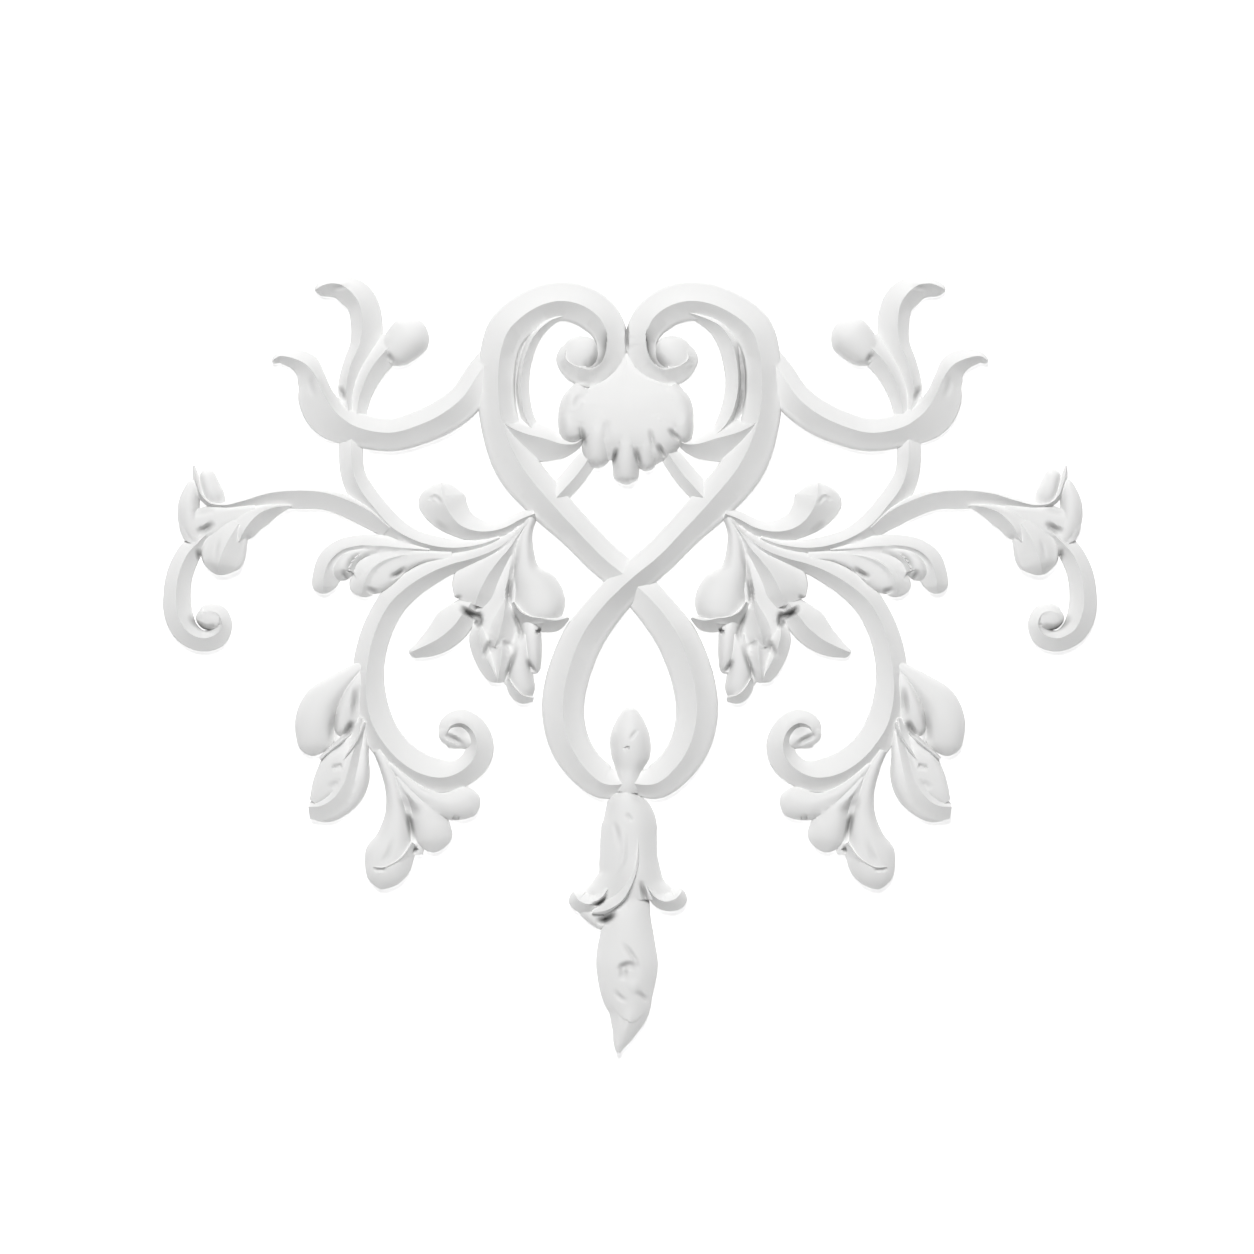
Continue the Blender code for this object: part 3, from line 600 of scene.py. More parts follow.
@dataclass
class Flower(Ornament):
    """The half open flower at the stem's end, with its bud."""

    petal_left: Strand = Strand(Section.DOME, (
        (431, 36, 8, 9, 11), (438, 52, 12, 11, 12.5), (441, 72, 11, 11, 13), (438, 90, 7, 9, 11),
        (436, 99, 3, 5, 8)), round_end=True)
    petal_right: Strand = Strand(Section.DOME, (
        (412, 71, 8, 9, 9), (416, 82, 11, 11, 12.5), (421, 97, 9, 9, 12), (424, 109, 8, 7, 9)),
        round_end=True)
    flower_bed: Strand = Strand(Section.CUSHION, (
        (374, 68, 8, 5, 10), (398, 64, 12, 8, 11), (418, 58, 18, 15, 12), (430, 48, 15, 23, 11.5),
        (437, 34, 8, 10, 10)))
    calyx: Strand = Strand(Section.BLADE, (
        (338, 72, 1, 1, 11), (355, 70, 9, 4, 14), (368, 65, 13, 10, 15), (378, 56, 12, 22, 16),
        (385, 46, 10, 26, 16.5), (390, 36, 3, 12, 14)))
    flower_bud: Strand = Strand(Section.RIBBON, (
        (390, 54, 9, 12, 14), (397, 43, 17, 19, 16.5), (404, 30, 22, 22, 17.5),
        (409, 16, 21, 20, 17), (412, 3, 14, 12, 13)), edge=7.0, round_end=True)
    upper_fold: Stroke = Stroke(((437, 64), (426, 67), (412, 69)), 1.6, 6.0)
    lower_pocket: Stroke = Stroke(((434, 45), (425, 48), (413, 56)), 4.6, 5.0)
    bud_pocket: Stroke = Stroke(((431, 30), (430, 21), (427, 12)), 5.0, 3.6)
    bud_groove: Stroke = Stroke(((408, 42), (412, 28), (414, 14)), 0.8, 4.0)
    tuck: Stroke = Stroke(((384, 44), (379, 38), (377, 32)), 2.0, 4.0)
    melt: Softening = Softening((420, 64), 16.0, 5)


@dataclass
class Hook(Ornament):
    """The hooked scroll that hangs from the flower."""

    hook: Strand = Strand(Section.BLADE, (
        (418, 48, 6, 8, 11), (430, 36, 9, 11, 12.5), (441, 24, 12, 12, 13),
        (449.5, 5, 13, 13, 13.5), (452.6, -16, 13.6, 13.7, 13.5), (451, -36, 14, 14.5, 13.5),
        (443, -52, 12, 14, 13.5), (428, -60, 8, 13.5, 13), (414, -57, 8, 13, 12.5),
        (407, -47, 9, 9.5, 13), (411, -36, 9, 9, 13), (420, -33, 8, 8, 12.5), (430, -37, 5, 6, 11)),
        round_end=True)
    hook_eye: Strand = Strand(Section.DOME, (
        (434, -40, 9, 9, 9), (422, -40, 12, 12, 12.5), (410, -42, 10, 10, 12.5)), round_start=True)
    melt: Softening = Softening((420, -37), 14.0, 12)
    eye_pocket: Stroke = Stroke(
        ((440, -35), (436, -43), (428, -49), (419, -51), (412, -47)), 5.0, 4.6)


@dataclass
class GreatScroll(Ornament):
    """The great lower scroll and its eye."""

    great_scroll: Strand = Strand(Section.BLADE, (
        (97, 60, 5, 5, 12), (115, 42, 8, 7, 13), (135, 28, 11, 9, 14), (155, 20, 9, 10, 14),
        (177, 14, 9.5, 11, 14), (196, 6.5, 12, 13, 14), (219, -7, 14, 14, 14),
        (238, -24, 15.5, 14, 14), (249.6, -43, 16, 14, 14), (257.3, -64, 16, 14.5, 14),
        (262, -89, 16.5, 15, 14), (263, -116, 19, 15, 14), (258, -143, 21, 15, 14),
        (247, -163, 20, 15, 14), (230, -182, 20, 15, 14), (209, -195, 20, 15.5, 14),
        (186.4, -199, 18, 15.5, 14), (169, -193, 13, 16, 14), (156.5, -181, 12, 17, 14),
        (152.5, -167, 11, 16.5, 14), (157, -153, 10, 15, 13.5), (168, -145, 9, 14, 13),
        (179, -148, 8, 12, 12), (184, -158, 6, 8, 10)))
    scroll_eye: Strand = Strand(Section.DOME, (
        (191, -159, 10, 11, 9), (184, -157, 12, 13, 10), (172, -157, 14, 14, 11),
        (158, -162, 9, 10, 9)), round_start=True)
    eye_shade: Stroke = Stroke(((184, -152), (173, -148), (163, -153), (159, -162)), 2.2, 10.0)
    eye_pocket: Stroke = Stroke(((189, -155), (180, -159), (172, -163), (164, -170)), 3.4, 4.4)


@dataclass
class SideLeaves(Ornament):
    """The two leaves on the outside of the great scroll."""

    side_leaf: Strand = Strand(Section.DOME, (
        (268, -88, 4, 6, 10), (290, -108, 10, 14, 12.5), (307, -126, 16, 20, 14),
        (315, -145, 20, 20, 14.5), (317, -163, 21, 16, 13), (317, -178, 12, 11, 9)), edge=5,
        round_end=True)
    side_leaf_fold: Strand = Strand(Section.DOME, (
        (268, -94, 6, 5, 10), (277, -112, 12, 8, 13), (284, -132, 16, 9, 13.5),
        (287, -149, 15, 9, 12), (289, -159, 8, 6, 9)), edge=5, round_end=True)
    side_bed: Strand = Strand(Section.DOME, (
        (270, -104, 8, 8, 7), (273, -128, 10, 12, 7), (279, -155, 12, 25, 7),
        (281, -167, 9, 15, 8)))
    corner_leaf: Strand = Strand(Section.BLADE, (
        (268, -140, 5, 5, 12), (271, -158, 8, 13, 13.5), (276, -174, 12, 22, 14),
        (281, -190, 17, 25, 14.5), (286, -205, 21, 24, 14.5), (295, -219, 20, 20, 14.5),
        (307, -227, 16, 14, 14), (321, -228.5, 12, 3, 12)), edge=6)
    corner_face: Strand = Strand(Section.CUSHION, (
        (282, -158, 6, 5, 11), (290, -172, 14, 9, 13), (297, -188, 18, 13, 13.8),
        (305, -204, 17, 12, 13.7), (312, -216, 12, 8, 13), (317, -223, 6, 4, 11.5)))
    corner_back: Strand = Strand(Section.DOME, (
        (266, -150, 4, 4, 9), (266, -176, 5, 12, 10), (270, -200, 10, 14, 11),
        (280, -218, 12, 12, 10), (300, -234, 10, 12, 9), (314, -236, 7, 7, 8)))
    upper_rim: Strand = Strand(Section.DOME, (
        (279, -154, 3, 3, 12), (288, -163, 3.6, 3.6, 14.7), (299, -172, 3.6, 3.6, 14.6),
        (309, -181, 2.4, 2.4, 13)))
    lower_rim: Strand = Strand(Section.DOME, (
        (265, -144, 2.8, 2.8, 12.6), (271, -160, 3, 3, 14.8), (278, -171, 3, 3, 15.2),
        (286, -181, 2.4, 2.4, 13.6)))
    fold_pocket: Stroke = Stroke(((276, -141), (280, -150), (287, -161)), 5.5, 5.0)
    inner_fold: Stroke = Stroke(((273, -106), (274, -124), (275, -144)), 3.5, 5.0)
    leaf_fold: Stroke = Stroke(((293, -130), (297, -149), (298, -170)), 2.2, 5.5)
    rim_shadow: Stroke = Stroke(((281, -162), (291, -171), (303, -181)), 0.8, 3.4)
    mark: Stroke = Stroke(((297, -190), (287, -187)), 1.8, 4.0, taper=0.2)
    soft_mark: Stroke = Stroke(((290, -202), (302, -211)), 0.9, 5.0)
    melt: Softening = Softening((292, -196), 20.0, 6)


@dataclass
class FootLeaves(Ornament):
    """The leaf and the two lobes under the great scroll."""

    foot_leaf: Strand = Strand(Section.DOME, (
        (252, -172, 5, 5, 11), (243, -190, 7, 7, 12), (236, -212, 8.5, 8.5, 12.5),
        (233, -235, 11, 12, 13), (235, -258, 17, 18, 14), (240, -278, 24, 25, 14.5),
        (246, -297, 20, 19, 13), (249, -311, 9, 9, 8)), edge=5, round_end=True)
    foot_lip: Strand = Strand(Section.BLADE, (
        (256, -288, 1, 4, 13.5), (246, -288.5, 3, 10, 15.3), (237, -285, 4, 12, 15.3),
        (226, -277, 4, 11, 15), (217, -264, 2, 5, 12)))
    foot_bed: Strand = Strand(Section.DOME, (
        (232, -202, 5, 5, 10), (226, -214, 8, 8, 11), (219, -232, 9, 9, 9.5),
        (215, -250, 9, 9, 7.5), (213, -270, 8, 8, 7), (212, -277, 5, 5, 6)))
    foot_lobe: Strand = Strand(Section.DOME, (
        (240, -186, 4, 4, 11), (216, -209, 6, 8, 12.5), (197, -221, 8, 13, 13.5),
        (180, -226, 13, 16, 14), (163, -223, 15, 17, 13), (150, -219, 11, 12, 10)), edge=5,
        round_end=True)
    foot_lobe_low: Strand = Strand(Section.DOME, (
        (232, -198, 4, 5, 11), (214, -222, 10, 10, 12.5), (203, -240, 17, 16, 13.5),
        (197, -258, 20, 18, 13), (194, -274, 14, 14, 9)), edge=5, round_end=True)
    lobe_ridge: Stroke = Stroke(((240, -190), (230, -205), (218, -219), (202, -230)), -1.3, 3.5)
    lobe_pocket: Stroke = Stroke(((229, -216), (219, -230), (206, -237)), 2.4, 8.0)
    leaf_slit: Stroke = Stroke(((223, -230), (219.5, -246), (216, -266)), 6.0, 4.2)
    corner_dot: Stroke = Stroke(((216, -271), (213, -272)), 4.5, 4.0, taper=0.01)
    lobe_dot: Stroke = Stroke(((177, -239), (171, -241)), 3.0, 4.0, taper=0.01)
    lip_slot: Stroke = Stroke(((257, -291), (242, -291)), 1.5, 2.8, taper=0.3)
    leaf_line: Stroke = Stroke(((235, -257), (242, -277), (250, -287)), 1.0, 4.5)
    melt: Softening = Softening((196, -232), 15.0, 8)


@dataclass
class DropLeaves(Ornament):
    """The hanging cluster beside the crossing: a full petal with a lip, a broad leaf with a
    tail, and the lobes under them."""

    drop_bed: Strand = Strand(Section.DOME, (
        (110, 52, 6, 6, 9), (118, 20, 13, 12, 10), (124, -10, 18, 20, 10.5),
        (134, -34, 26, 26, 9.5), (128, -62, 30, 24, 10), (118, -88, 20, 18, 9.5),
        (112, -108, 12, 10, 8)))
    drop_petal: Strand = Strand(Section.DOME, (
        (98, 60, 5, 6, 12), (103, 46, 6, 9, 13), (105, 28, 9, 12, 14.5), (103, 8, 13, 16, 15.5),
        (95, -10, 24, 24, 16.5), (90, -26, 26, 27, 17.5), (88, -37, 22, 24, 17),
        (87, -45, 17, 18, 14)))
    drop_lip: Strand = Strand(Section.BLADE, (
        (116, -24, 1, 5, 15.5), (110, -33, 4, 9, 17), (100, -38.5, 6, 13, 17.5),
        (87, -40.5, 7, 14, 17.5), (74, -42.5, 6, 11, 16), (61, -39.5, 1, 2, 11)))
    broad_leaf: Strand = Strand(Section.BLADE, (
        (100, 58, 4, 5, 12), (112, 42, 7, 9, 13.5), (120, 30, 10, 14, 14.5),
        (131, 17, 16, 24, 15.5), (142, 2, 21, 30, 16), (150, -14, 24, 30, 15.5),
        (155, -27, 20, 22, 12)))
    tail_leaf: Strand = Strand(Section.BLADE, (
        (156, -22, 8, 8, 11), (166, -35, 14, 16, 14), (176, -48, 16, 21, 15),
        (190, -60, 15, 17, 14.5), (205, -68, 12, 10, 13), (215, -72.5, 8, 5, 11.5),
        (221, -75, 6, 4, 9)), round_end=True)
    lobe_left: Strand = Strand(Section.BLADE, (
        (151, -44, 7, 5, 9), (150, -60, 10, 11, 13.8), (145, -76, 9, 12, 13.8),
        (137, -92, 9, 11, 12.5), (131, -104, 6, 7, 9)), edge=5.0, round_end=True)
    lobe_middle: Strand = Strand(Section.RIBBON, (
        (124, -20, 4, 4, 11), (125, -34, 11, 10, 15), (129, -50, 18, 14, 16.2),
        (132, -61, 18, 13, 15.5), (135, -69, 11, 8, 12)), edge=5.0)
    lobe_low: Strand = Strand(Section.RIBBON, (
        (128, -58, 12, 12, 12.5), (128, -74, 14, 14, 14.2), (130, -90, 13, 12, 13.5),
        (132, -105, 8, 8, 10)), edge=5.0, round_end=True)
    lobe_right: Strand = Strand(Section.DOME, (
        (107, -56, 8, 10, 12), (109, -78, 11, 12, 14), (110, -96, 13, 13, 14.5),
        (107, -112, 13, 12, 13), (102, -123, 8, 8, 8)), round_end=True)
    right_lip: Strand = Strand(Section.BLADE, (
        (121, -100, 1, 4, 12.5), (115, -110, 4, 8, 14.2), (107, -117, 5, 9, 14.4),
        (96, -120, 1, 4, 10)))
    lobe_small: Strand = Strand(Section.DOME, (
        (99, -44, 9, 10, 12), (97, -62, 9, 11, 14), (96, -80, 8, 9, 13.5), (95, -96, 5, 5, 9)),
        round_end=True)
    petal_crease: Stroke = Stroke(
        ((110, 36), (115, 14), (119, -4), (120.5, -18), (119, -29)), 2.6, 4.0)
    crease_slot: Stroke = Stroke(((119, 0), (121, -14), (121, -32)), 5.0, 3.4)
    lip_crease: Stroke = Stroke(((119, -29), (113, -42), (109, -56), (111, -68)), 4.5, 3.6)
    tip_slot: Stroke = Stroke(((183, -24), (175, -22), (167, -17)), 5.0, 3.5)
    under_leaf: Stroke = Stroke(((173, -28), (163, -34), (154, -38), (145, -36)), 9.0, 4.8)
    under_deep: Stroke = Stroke(((154, -34), (151, -42), (152, -52)), 9.0, 4.8)
    left_pocket: Stroke = Stroke(((139, -61), (142, -70), (147, -82)), 4.0, 4.2)
    notch: Stroke = Stroke(((128, -64), (122, -67), (116, -70)), 1.8, 4.0)
    low_crease: Stroke = Stroke(((112, -66), (117, -82), (122, -96), (126, -108)), 4.5, 3.4)
    small_crease: Stroke = Stroke(((103, -80), (98, -90), (91, -95)), 4.0, 3.6)
    dot: Stroke = Stroke(((93, -52), (90, -54)), 5.0, 4.5, taper=0.01)
    hub: Softening = Softening((120, 36), 14.0, 10)
    melt: Softening = Softening((128, -70), 24.0, 3)


@dataclass
class LoopBud(Ornament):
    """The bud inside the lower loop."""

    sides: tuple[int, ...] = MIDDLE
    loop_bud: Strand = Strand(Section.DOME, (
        (0, -128, 5, 5, 9), (0, -142, 14, 14, 13), (0, -158, 20, 20, 16), (0, -178, 20, 19, 16),
        (1, -192, 13, 14, 14.5), (2, -204, 13, 13, 14.5), (3, -214, 13, 13, 14)), round_start=True)
    bud_line: Stroke = Stroke(((-9, -150), (-4, -156), (1, -163)), 1.2, 3.0)
    bud_dot: Stroke = Stroke(((4, -168), (2, -171)), 1.8, 3.5, taper=0.01)


@dataclass
class BellFlower(Ornament):
    """The bell flower under the loop."""

    sides: tuple[int, ...] = MIDDLE
    bell: Strand = Strand(Section.DOME, (
        (4, -211, 9, 9, 15), (4, -223, 19, 19, 17), (1, -242, 27, 27, 18.5), (1, -262, 28, 29, 19),
        (1, -281, 29, 30, 19), (0, -294, 31, 32, 18.5), (0, -304, 36, 38, 17),
        (0, -313, 46, 46, 15), (0, -321, 44, 44, 13)), round_start=True)
    lip_left: Strand = Strand(Section.BLADE, (
        (22, -310, 2, 6, 16), (30, -320, 7, 9, 17), (40, -325, 10, 11, 17), (50, -322, 11, 11, 16),
        (57, -313, 8, 9, 12.5)), edge=5, round_end=True)
    lip_right: Strand = Strand(Section.BLADE, (
        (-17, -308, 6, 2, 16), (-25, -318, 9, 7, 17), (-35, -322.5, 11, 10, 17),
        (-45, -320, 11, 12, 16), (-53, -311, 9, 8, 12.5)), edge=5, round_end=True)
    back_petal: Strand = Strand(Section.DOME, (
        (52, -322, 7, 7, 8), (40, -334, 9, 9, 9), (26, -344, 9, 9, 9), (20, -350, 5, 5, 7)))
    bell_petal: Strand = Strand(Section.BLADE, (
        (-8, -252, 3, 8, 18), (-8, -284, 4, 14, 20.5), (-3, -302, 5, 19, 20.5),
        (8, -321, 5, 19, 19.5), (23, -331, 5, 14, 17.5), (38, -334, 3, 6, 13)), edge=5)
    left_rib: Stroke = Stroke(
        ((13, -241), (7, -252), (6, -267), (7, -280), (11, -290), (17, -306)), -1.2, 4.0)
    rib_shadow: Stroke = Stroke(((17, -240), (13, -252), (11, -270)), 1.2, 4.5)
    bell_mark: Stroke = Stroke(((5, -234), (1, -238), (-3, -244)), 1.2, 3.0)
    right_groove: Stroke = Stroke(((-11, -300), (-14, -315), (-20, -330)), 4.5, 3.6)
    left_cavity: Stroke = Stroke(((42, -326), (31, -324), (22, -315)), 6.0, 3.4)
    under_petal: Stroke = Stroke(((36, -343), (23, -341), (12, -333)), 7.0, 5.0)
    lip_blend: Softening = Softening((38, -308), 17.0, 10)
    lip_blend_right: Softening = Softening((-36, -307), 17.0, 10)
    top_blend: Softening = Softening((3, -214), 9.0, 6)


@dataclass
class Pendant(Ornament):
    """The pendant bud."""

    sides: tuple[int, ...] = MIDDLE
    pendant: Strand = Strand(Section.DOME, (
        (3, -312, 22, 20, 13), (4, -340, 25, 23, 15), (3, -364, 28, 29, 16.5),
        (3, -386, 31, 31, 17.5), (3, -412, 27, 27, 16.5), (2, -434, 21, 20, 15),
        (6, -452, 13, 13, 13), (11, -465, 8, 6, 11), (12, -474, 3, 2, 9)), edge=5)
    upper_fold: Stroke = Stroke(((10, -362), (0, -373), (-6, -382), (-11, -393)), 1.7, 4.0)
    pocket: Stroke = Stroke(((12, -397), (9, -389), (3, -386), (-5, -388), (-12, -398)), 2.4, 5.5)
    pocket_deep: Stroke = Stroke(((6, -383), (6, -391), (8, -403)), 2.8, 6.0)
    low_fold: Stroke = Stroke(
        ((19, -424), (9, -437), (-2, -443), (-12, -436), (-18, -425)), 1.0, 12.0, fold=True)
    swell: Stroke = Stroke(((-1, -398), (-5, -408), (-4, -416)), -1.0, 9.0)
    notch: Stroke = Stroke(((-5, -411), (-12, -417), (-20, -424)), 2.2, 4.0)
    arc: Stroke = Stroke(((16, -408), (12, -416), (7, -420), (0, -422)), 1.4, 4.0)
    low_ridge: Stroke = Stroke(((-1, -426), (2, -444), (9, -464)), -1.4, 8.0)


@dataclass
class Shell(Ornament):
    """The shell between the heart's volutes: a smooth cushion with lobes along its rim."""

    sides: tuple[int, ...] = MIDDLE
    shell: Strand = Strand(Section.CUSHION, (
        (1, 224, 3, 3, 6), (1, 208, 12, 12, 9), (1, 196, 30, 28, 12), (1, 186, 54, 52, 15),
        (1, 174, 64, 60, 17), (2, 156, 65, 58, 18), (2, 140, 56, 50, 18), (3, 126, 44, 38, 15),
        (4, 116, 30, 26, 10)))
    shell_middle: Strand = Strand(Section.DOME, (
        (3, 156, 14, 14, 18.5), (4, 130, 14, 14, 18.5), (4, 110, 13.5, 13.5, 17),
        (4, 98, 12, 12, 14), (4, 93, 8, 8, 10)), round_end=True)
    shell_left: Strand = Strand(Section.DOME, (
        (26, 166, 12, 12, 17.5), (32, 144, 15, 15, 18.8), (33, 126, 15, 15, 17),
        (33, 109.5, 11, 11, 13)), round_end=True)
    shell_right: Strand = Strand(Section.DOME, (
        (-14, 150, 11, 11, 18), (-16, 128, 12, 12, 17), (-17, 106.5, 9, 9, 12)), round_end=True)
    shell_right_small: Strand = Strand(Section.DOME, (
        (-26, 162, 12, 12, 18), (-31, 146, 12, 12, 17.5), (-33, 131, 9, 9, 13)), round_end=True)
    shell_outer_left: Strand = Strand(Section.DOME, (
        (44, 190, 12, 10, 13), (54, 175, 17, 14, 16.5), (58, 158, 16, 14, 17.5),
        (57, 144, 13, 13, 16), (55, 135, 8, 8, 12)), round_end=True)
    shell_outer_right: Strand = Strand(Section.DOME, (
        (-40, 190, 10, 12, 13), (-48, 175, 13, 16, 16.5), (-51, 158, 13, 15, 17.5),
        (-51, 144, 12, 12, 16), (-50, 133, 8, 8, 12)), round_end=True)
    crease_upper: Stroke = Stroke(((46, 183), (52, 177), (54, 166)), 1.0, 5.0)
    crease_middle: Stroke = Stroke(((22, 160), (23, 147), (22, 134)), 0.8, 6.0)
    gap_middle: Stroke = Stroke(((13, 131), (15, 121), (18, 109)), 5.0, 3.4)
    gap_left: Stroke = Stroke(((49, 152), (47, 141), (44, 128)), 3.6, 3.8)
    gap_right: Stroke = Stroke(((-5, 132), (-8, 119), (-12, 106)), 4.0, 3.8)
    gap_small: Stroke = Stroke(((-19, 150), (-22, 138), (-25, 124)), 2.2, 4.0)
    gap_deep: Stroke = Stroke(((-25, 135), (-31, 126), (-36, 117)), 4.5, 4.4)
    gap_outer: Stroke = Stroke(((-38, 150), (-43, 143), (-53, 135)), 3.4, 3.8)
    cushion: Softening = Softening((1, 178), 46.0, 24)
    melt_left: Softening = Softening((46, 168), 20.0, 20)
    melt_right: Softening = Softening((-42, 168), 18.0, 20)


ORNAMENTS = (
    HeartRibbon, HeartLining, Crest, Stems, CurlLeaf, Flower, Hook, GreatScroll, SideLeaves,
    FootLeaves, DropLeaves, LoopBud, BellFlower, Pendant, Shell,
)


@dataclass
class Casting:
    """The whole applique: one body with a flat back.

    The wall block and the fine edge are measured in metres and in drawing units. Points whose y
    is over the front limit, in metres, belong to the back and the foot of the sides, and stay.
    """

    ornaments: list[Ornament]
    name: str = "applique_casting"
    wall_width: float = 2.0
    wall_depth: float = 0.05
    fine_edge: float = 1.1
    refine_passes: int = 2
    crease_angle: float = math.radians(38.0)
    front_limit: float = -0.0022
    most_triangles: int = 196000
    body: bpy.types.Object | None = field(default=None, init=False)

    def join(self) -> None:
        """Joins every strand into one body and cuts it flat at the wall plane."""
        blanks: list[bpy.types.Object] = []
        for ornament in self.ornaments:
            added = ornament.blanks(BURY + len(blanks) * BURY_STEP)
            LOG.info("%s: %d strands", type(ornament).__name__, len(added))
            blanks += added
        helpers = bpy.data.collections.new("blanks")
        bpy.context.scene.collection.children.link(helpers)
        rough = blanks[0]
        bpy.context.scene.collection.objects.link(rough)
        for blank in blanks[1:]:
            helpers.objects.link(blank)
        wall = self.wall_block()
        bpy.context.scene.collection.objects.link(wall)
        union = rough.modifiers.new("join", "BOOLEAN")
        union.operation = "UNION"
        union.solver = SOLVER
        union.operand_type = "COLLECTION"
        union.collection = helpers
        cut = rough.modifiers.new("flat_back", "BOOLEAN")
        cut.operation = "DIFFERENCE"
        cut.solver = SOLVER
        cut.object = wall
        evaluated = rough.evaluated_get(bpy.context.evaluated_depsgraph_get())
        mesh = bpy.data.meshes.new_from_object(evaluated)
        mesh.name = self.name
        for blank in [*blanks, wall]:
            bpy.data.objects.remove(blank, do_unlink=True)
        bpy.data.collections.remove(helpers)
        self.body = bpy.data.objects.new(self.name, mesh)
        bpy.context.scene.collection.objects.link(self.body)

    def wall_block(self) -> bpy.types.Object:
        """A block behind the wall plane, wider than the applique."""
        mesh = bmesh.new()
        bmesh.ops.create_cube(mesh, size=1.0)
        for vertex in mesh.verts:
            vertex.co.x *= self.wall_width
            vertex.co.z *= self.wall_width
            vertex.co.y = self.wall_depth if vertex.co.y > 0 else 0.0
        data = bpy.data.meshes.new("wall_block")
        mesh.to_mesh(data)
        mesh.free()
        return bpy.data.objects.new("wall_block", data)

    def refine(self) -> None:
        """Halves the long edges near the strokes, so that narrow creases find points."""
        mesh = bmesh.new()
        mesh.from_mesh(self.body.data)
        bmesh.ops.triangulate(mesh, faces=mesh.faces)
        bmesh.ops.remove_doubles(mesh, verts=mesh.verts, dist=MERGE)
        for _ in range(self.refine_passes):
            mesh.verts.ensure_lookup_table()
            places = np.array([vertex.co for vertex in mesh.verts])
            front = places[:, 1] < self.front_limit
            drawn = places[:, [0, 2]] / UNIT
            close = np.zeros(len(places), bool)
            for ornament in self.ornaments:
                for _, stroke, side in ornament.placed(Stroke):
                    near, amount = stroke.shift(drawn, side)
                    close[near[np.abs(amount) > 0]] = True
            close &= front
            limit = self.fine_edge * UNIT
            long_edges = [
                edge for edge in mesh.edges
                if (close[edge.verts[0].index] or close[edge.verts[1].index])
                and edge.calc_length() > 2 * limit
            ]
            bmesh.ops.subdivide_edges(mesh, edges=long_edges, cuts=1)
            bmesh.ops.triangulate(mesh, faces=mesh.faces)
            mesh.verts.index_update()
        mesh.to_mesh(self.body.data)
        mesh.free()

    def soften(self) -> None:
        """Moves the points of each softened patch towards the mean of their neighbours."""
        data = self.body.data
        count = len(data.vertices)
        points = np.zeros(count * 3)
        data.vertices.foreach_get("co", points)
        points = points.reshape(-1, 3)
        pairs = np.zeros(len(data.edges) * 2, int)
        data.edges.foreach_get("vertices", pairs)
        pairs = pairs.reshape(-1, 2)
        links = np.bincount(pairs.ravel(), minlength=count).astype(float)
        front = points[:, 1] < self.front_limit
        for ornament in self.ornaments:
            for _, patch, side in ornament.placed(Softening):
                weight = patch.weight(points[:, [0, 2]] / UNIT, side) * front
                inner = weight[pairs].max(axis=1) > 0
                ends = pairs[inner]
                for _ in range(patch.passes):
                    total = np.zeros(count)
                    np.add.at(total, ends[:, 0], points[ends[:, 1], 1])
                    np.add.at(total, ends[:, 1], points[ends[:, 0], 1])
                    mean = total / np.maximum(links, 1)
                    points[:, 1] += SOFT_RATE * weight * (mean - points[:, 1])
        data.vertices.foreach_set("co", points.ravel())

    def carve(self) -> None:
        """Pushes the front back along every stroke and notes how deep each point sank, for the
        painted shade in the finish.
        """
        data = self.body.data
        points = np.zeros(len(data.vertices) * 3)
        data.vertices.foreach_get("co", points)
        points = points.reshape(-1, 3)
        drawn = points[:, [0, 2]] / UNIT
        height = -points[:, 1] / MILLIMETRE
        sunk = np.zeros(len(height))
        front = height > -self.front_limit / MILLIMETRE
        for ornament in self.ornaments:
            for _, stroke, side in ornament.placed(Stroke):
                near, amount = stroke.shift(drawn, side)
                amount = amount * front[near]
                sunk[near] = np.maximum(sunk[near], amount)
                height[near] = np.where(
                    amount > 0,
                    np.maximum(height[near] - amount, np.minimum(height[near], FLOOR_HEIGHT)),
                    height[near] - amount,
                )
        points[:, 1] = np.where(front, -height * MILLIMETRE, points[:, 1])
        data.vertices.foreach_set("co", points.ravel())
        # Painted shade: the carved depth is kept as a point attribute so that the finish darkens
        # the colour there.
        painted_shade = data.attributes.new(SHADE_ATTRIBUTE, "FLOAT", "POINT")
        painted_shade.data.foreach_set("value", np.clip(sunk / SHADE_FULL_DEPTH, 0, 1))

    def thin_out(self) -> None:
        """Merges the points that the shape needs least, down to the most triangles allowed."""
        dense = self.body.data
        fewer = self.body.modifiers.new("fewer", "DECIMATE")
        fewer.ratio = min(1.0, self.most_triangles / len(dense.polygons))
        evaluated = self.body.evaluated_get(bpy.context.evaluated_depsgraph_get())
        self.body.data = bpy.data.meshes.new_from_object(evaluated)
        self.body.data.name = self.name
        self.body.modifiers.clear()
        bpy.data.meshes.remove(dense)

    def finish(self, material: bpy.types.Material) -> None:
        """Shades the casting, keeps its sharp creases and gives it its finish."""
        data = self.body.data
        data.materials.clear()
        data.materials.append(material)
        data.polygons.foreach_set("material_index", np.zeros(len(data.polygons), int))
        data.shade_smooth()
        data.set_sharp_from_angle(angle=self.crease_angle)
        data.update()
        LOG.info("%s: %d triangles", self.name, len(data.polygons))


# What the cloud does to the primer: the tones between which it varies, how much rougher or
# smoother it makes the surface, and its height against that of the orange peel.
CLOUD_TONES = (0.975, 1.025)
CLOUD_ROUGH = 0.07
CLOUD_HEIGHT = 3.0
CLOUD_DETAIL = 3.0
PEEL_DETAIL = 2.0


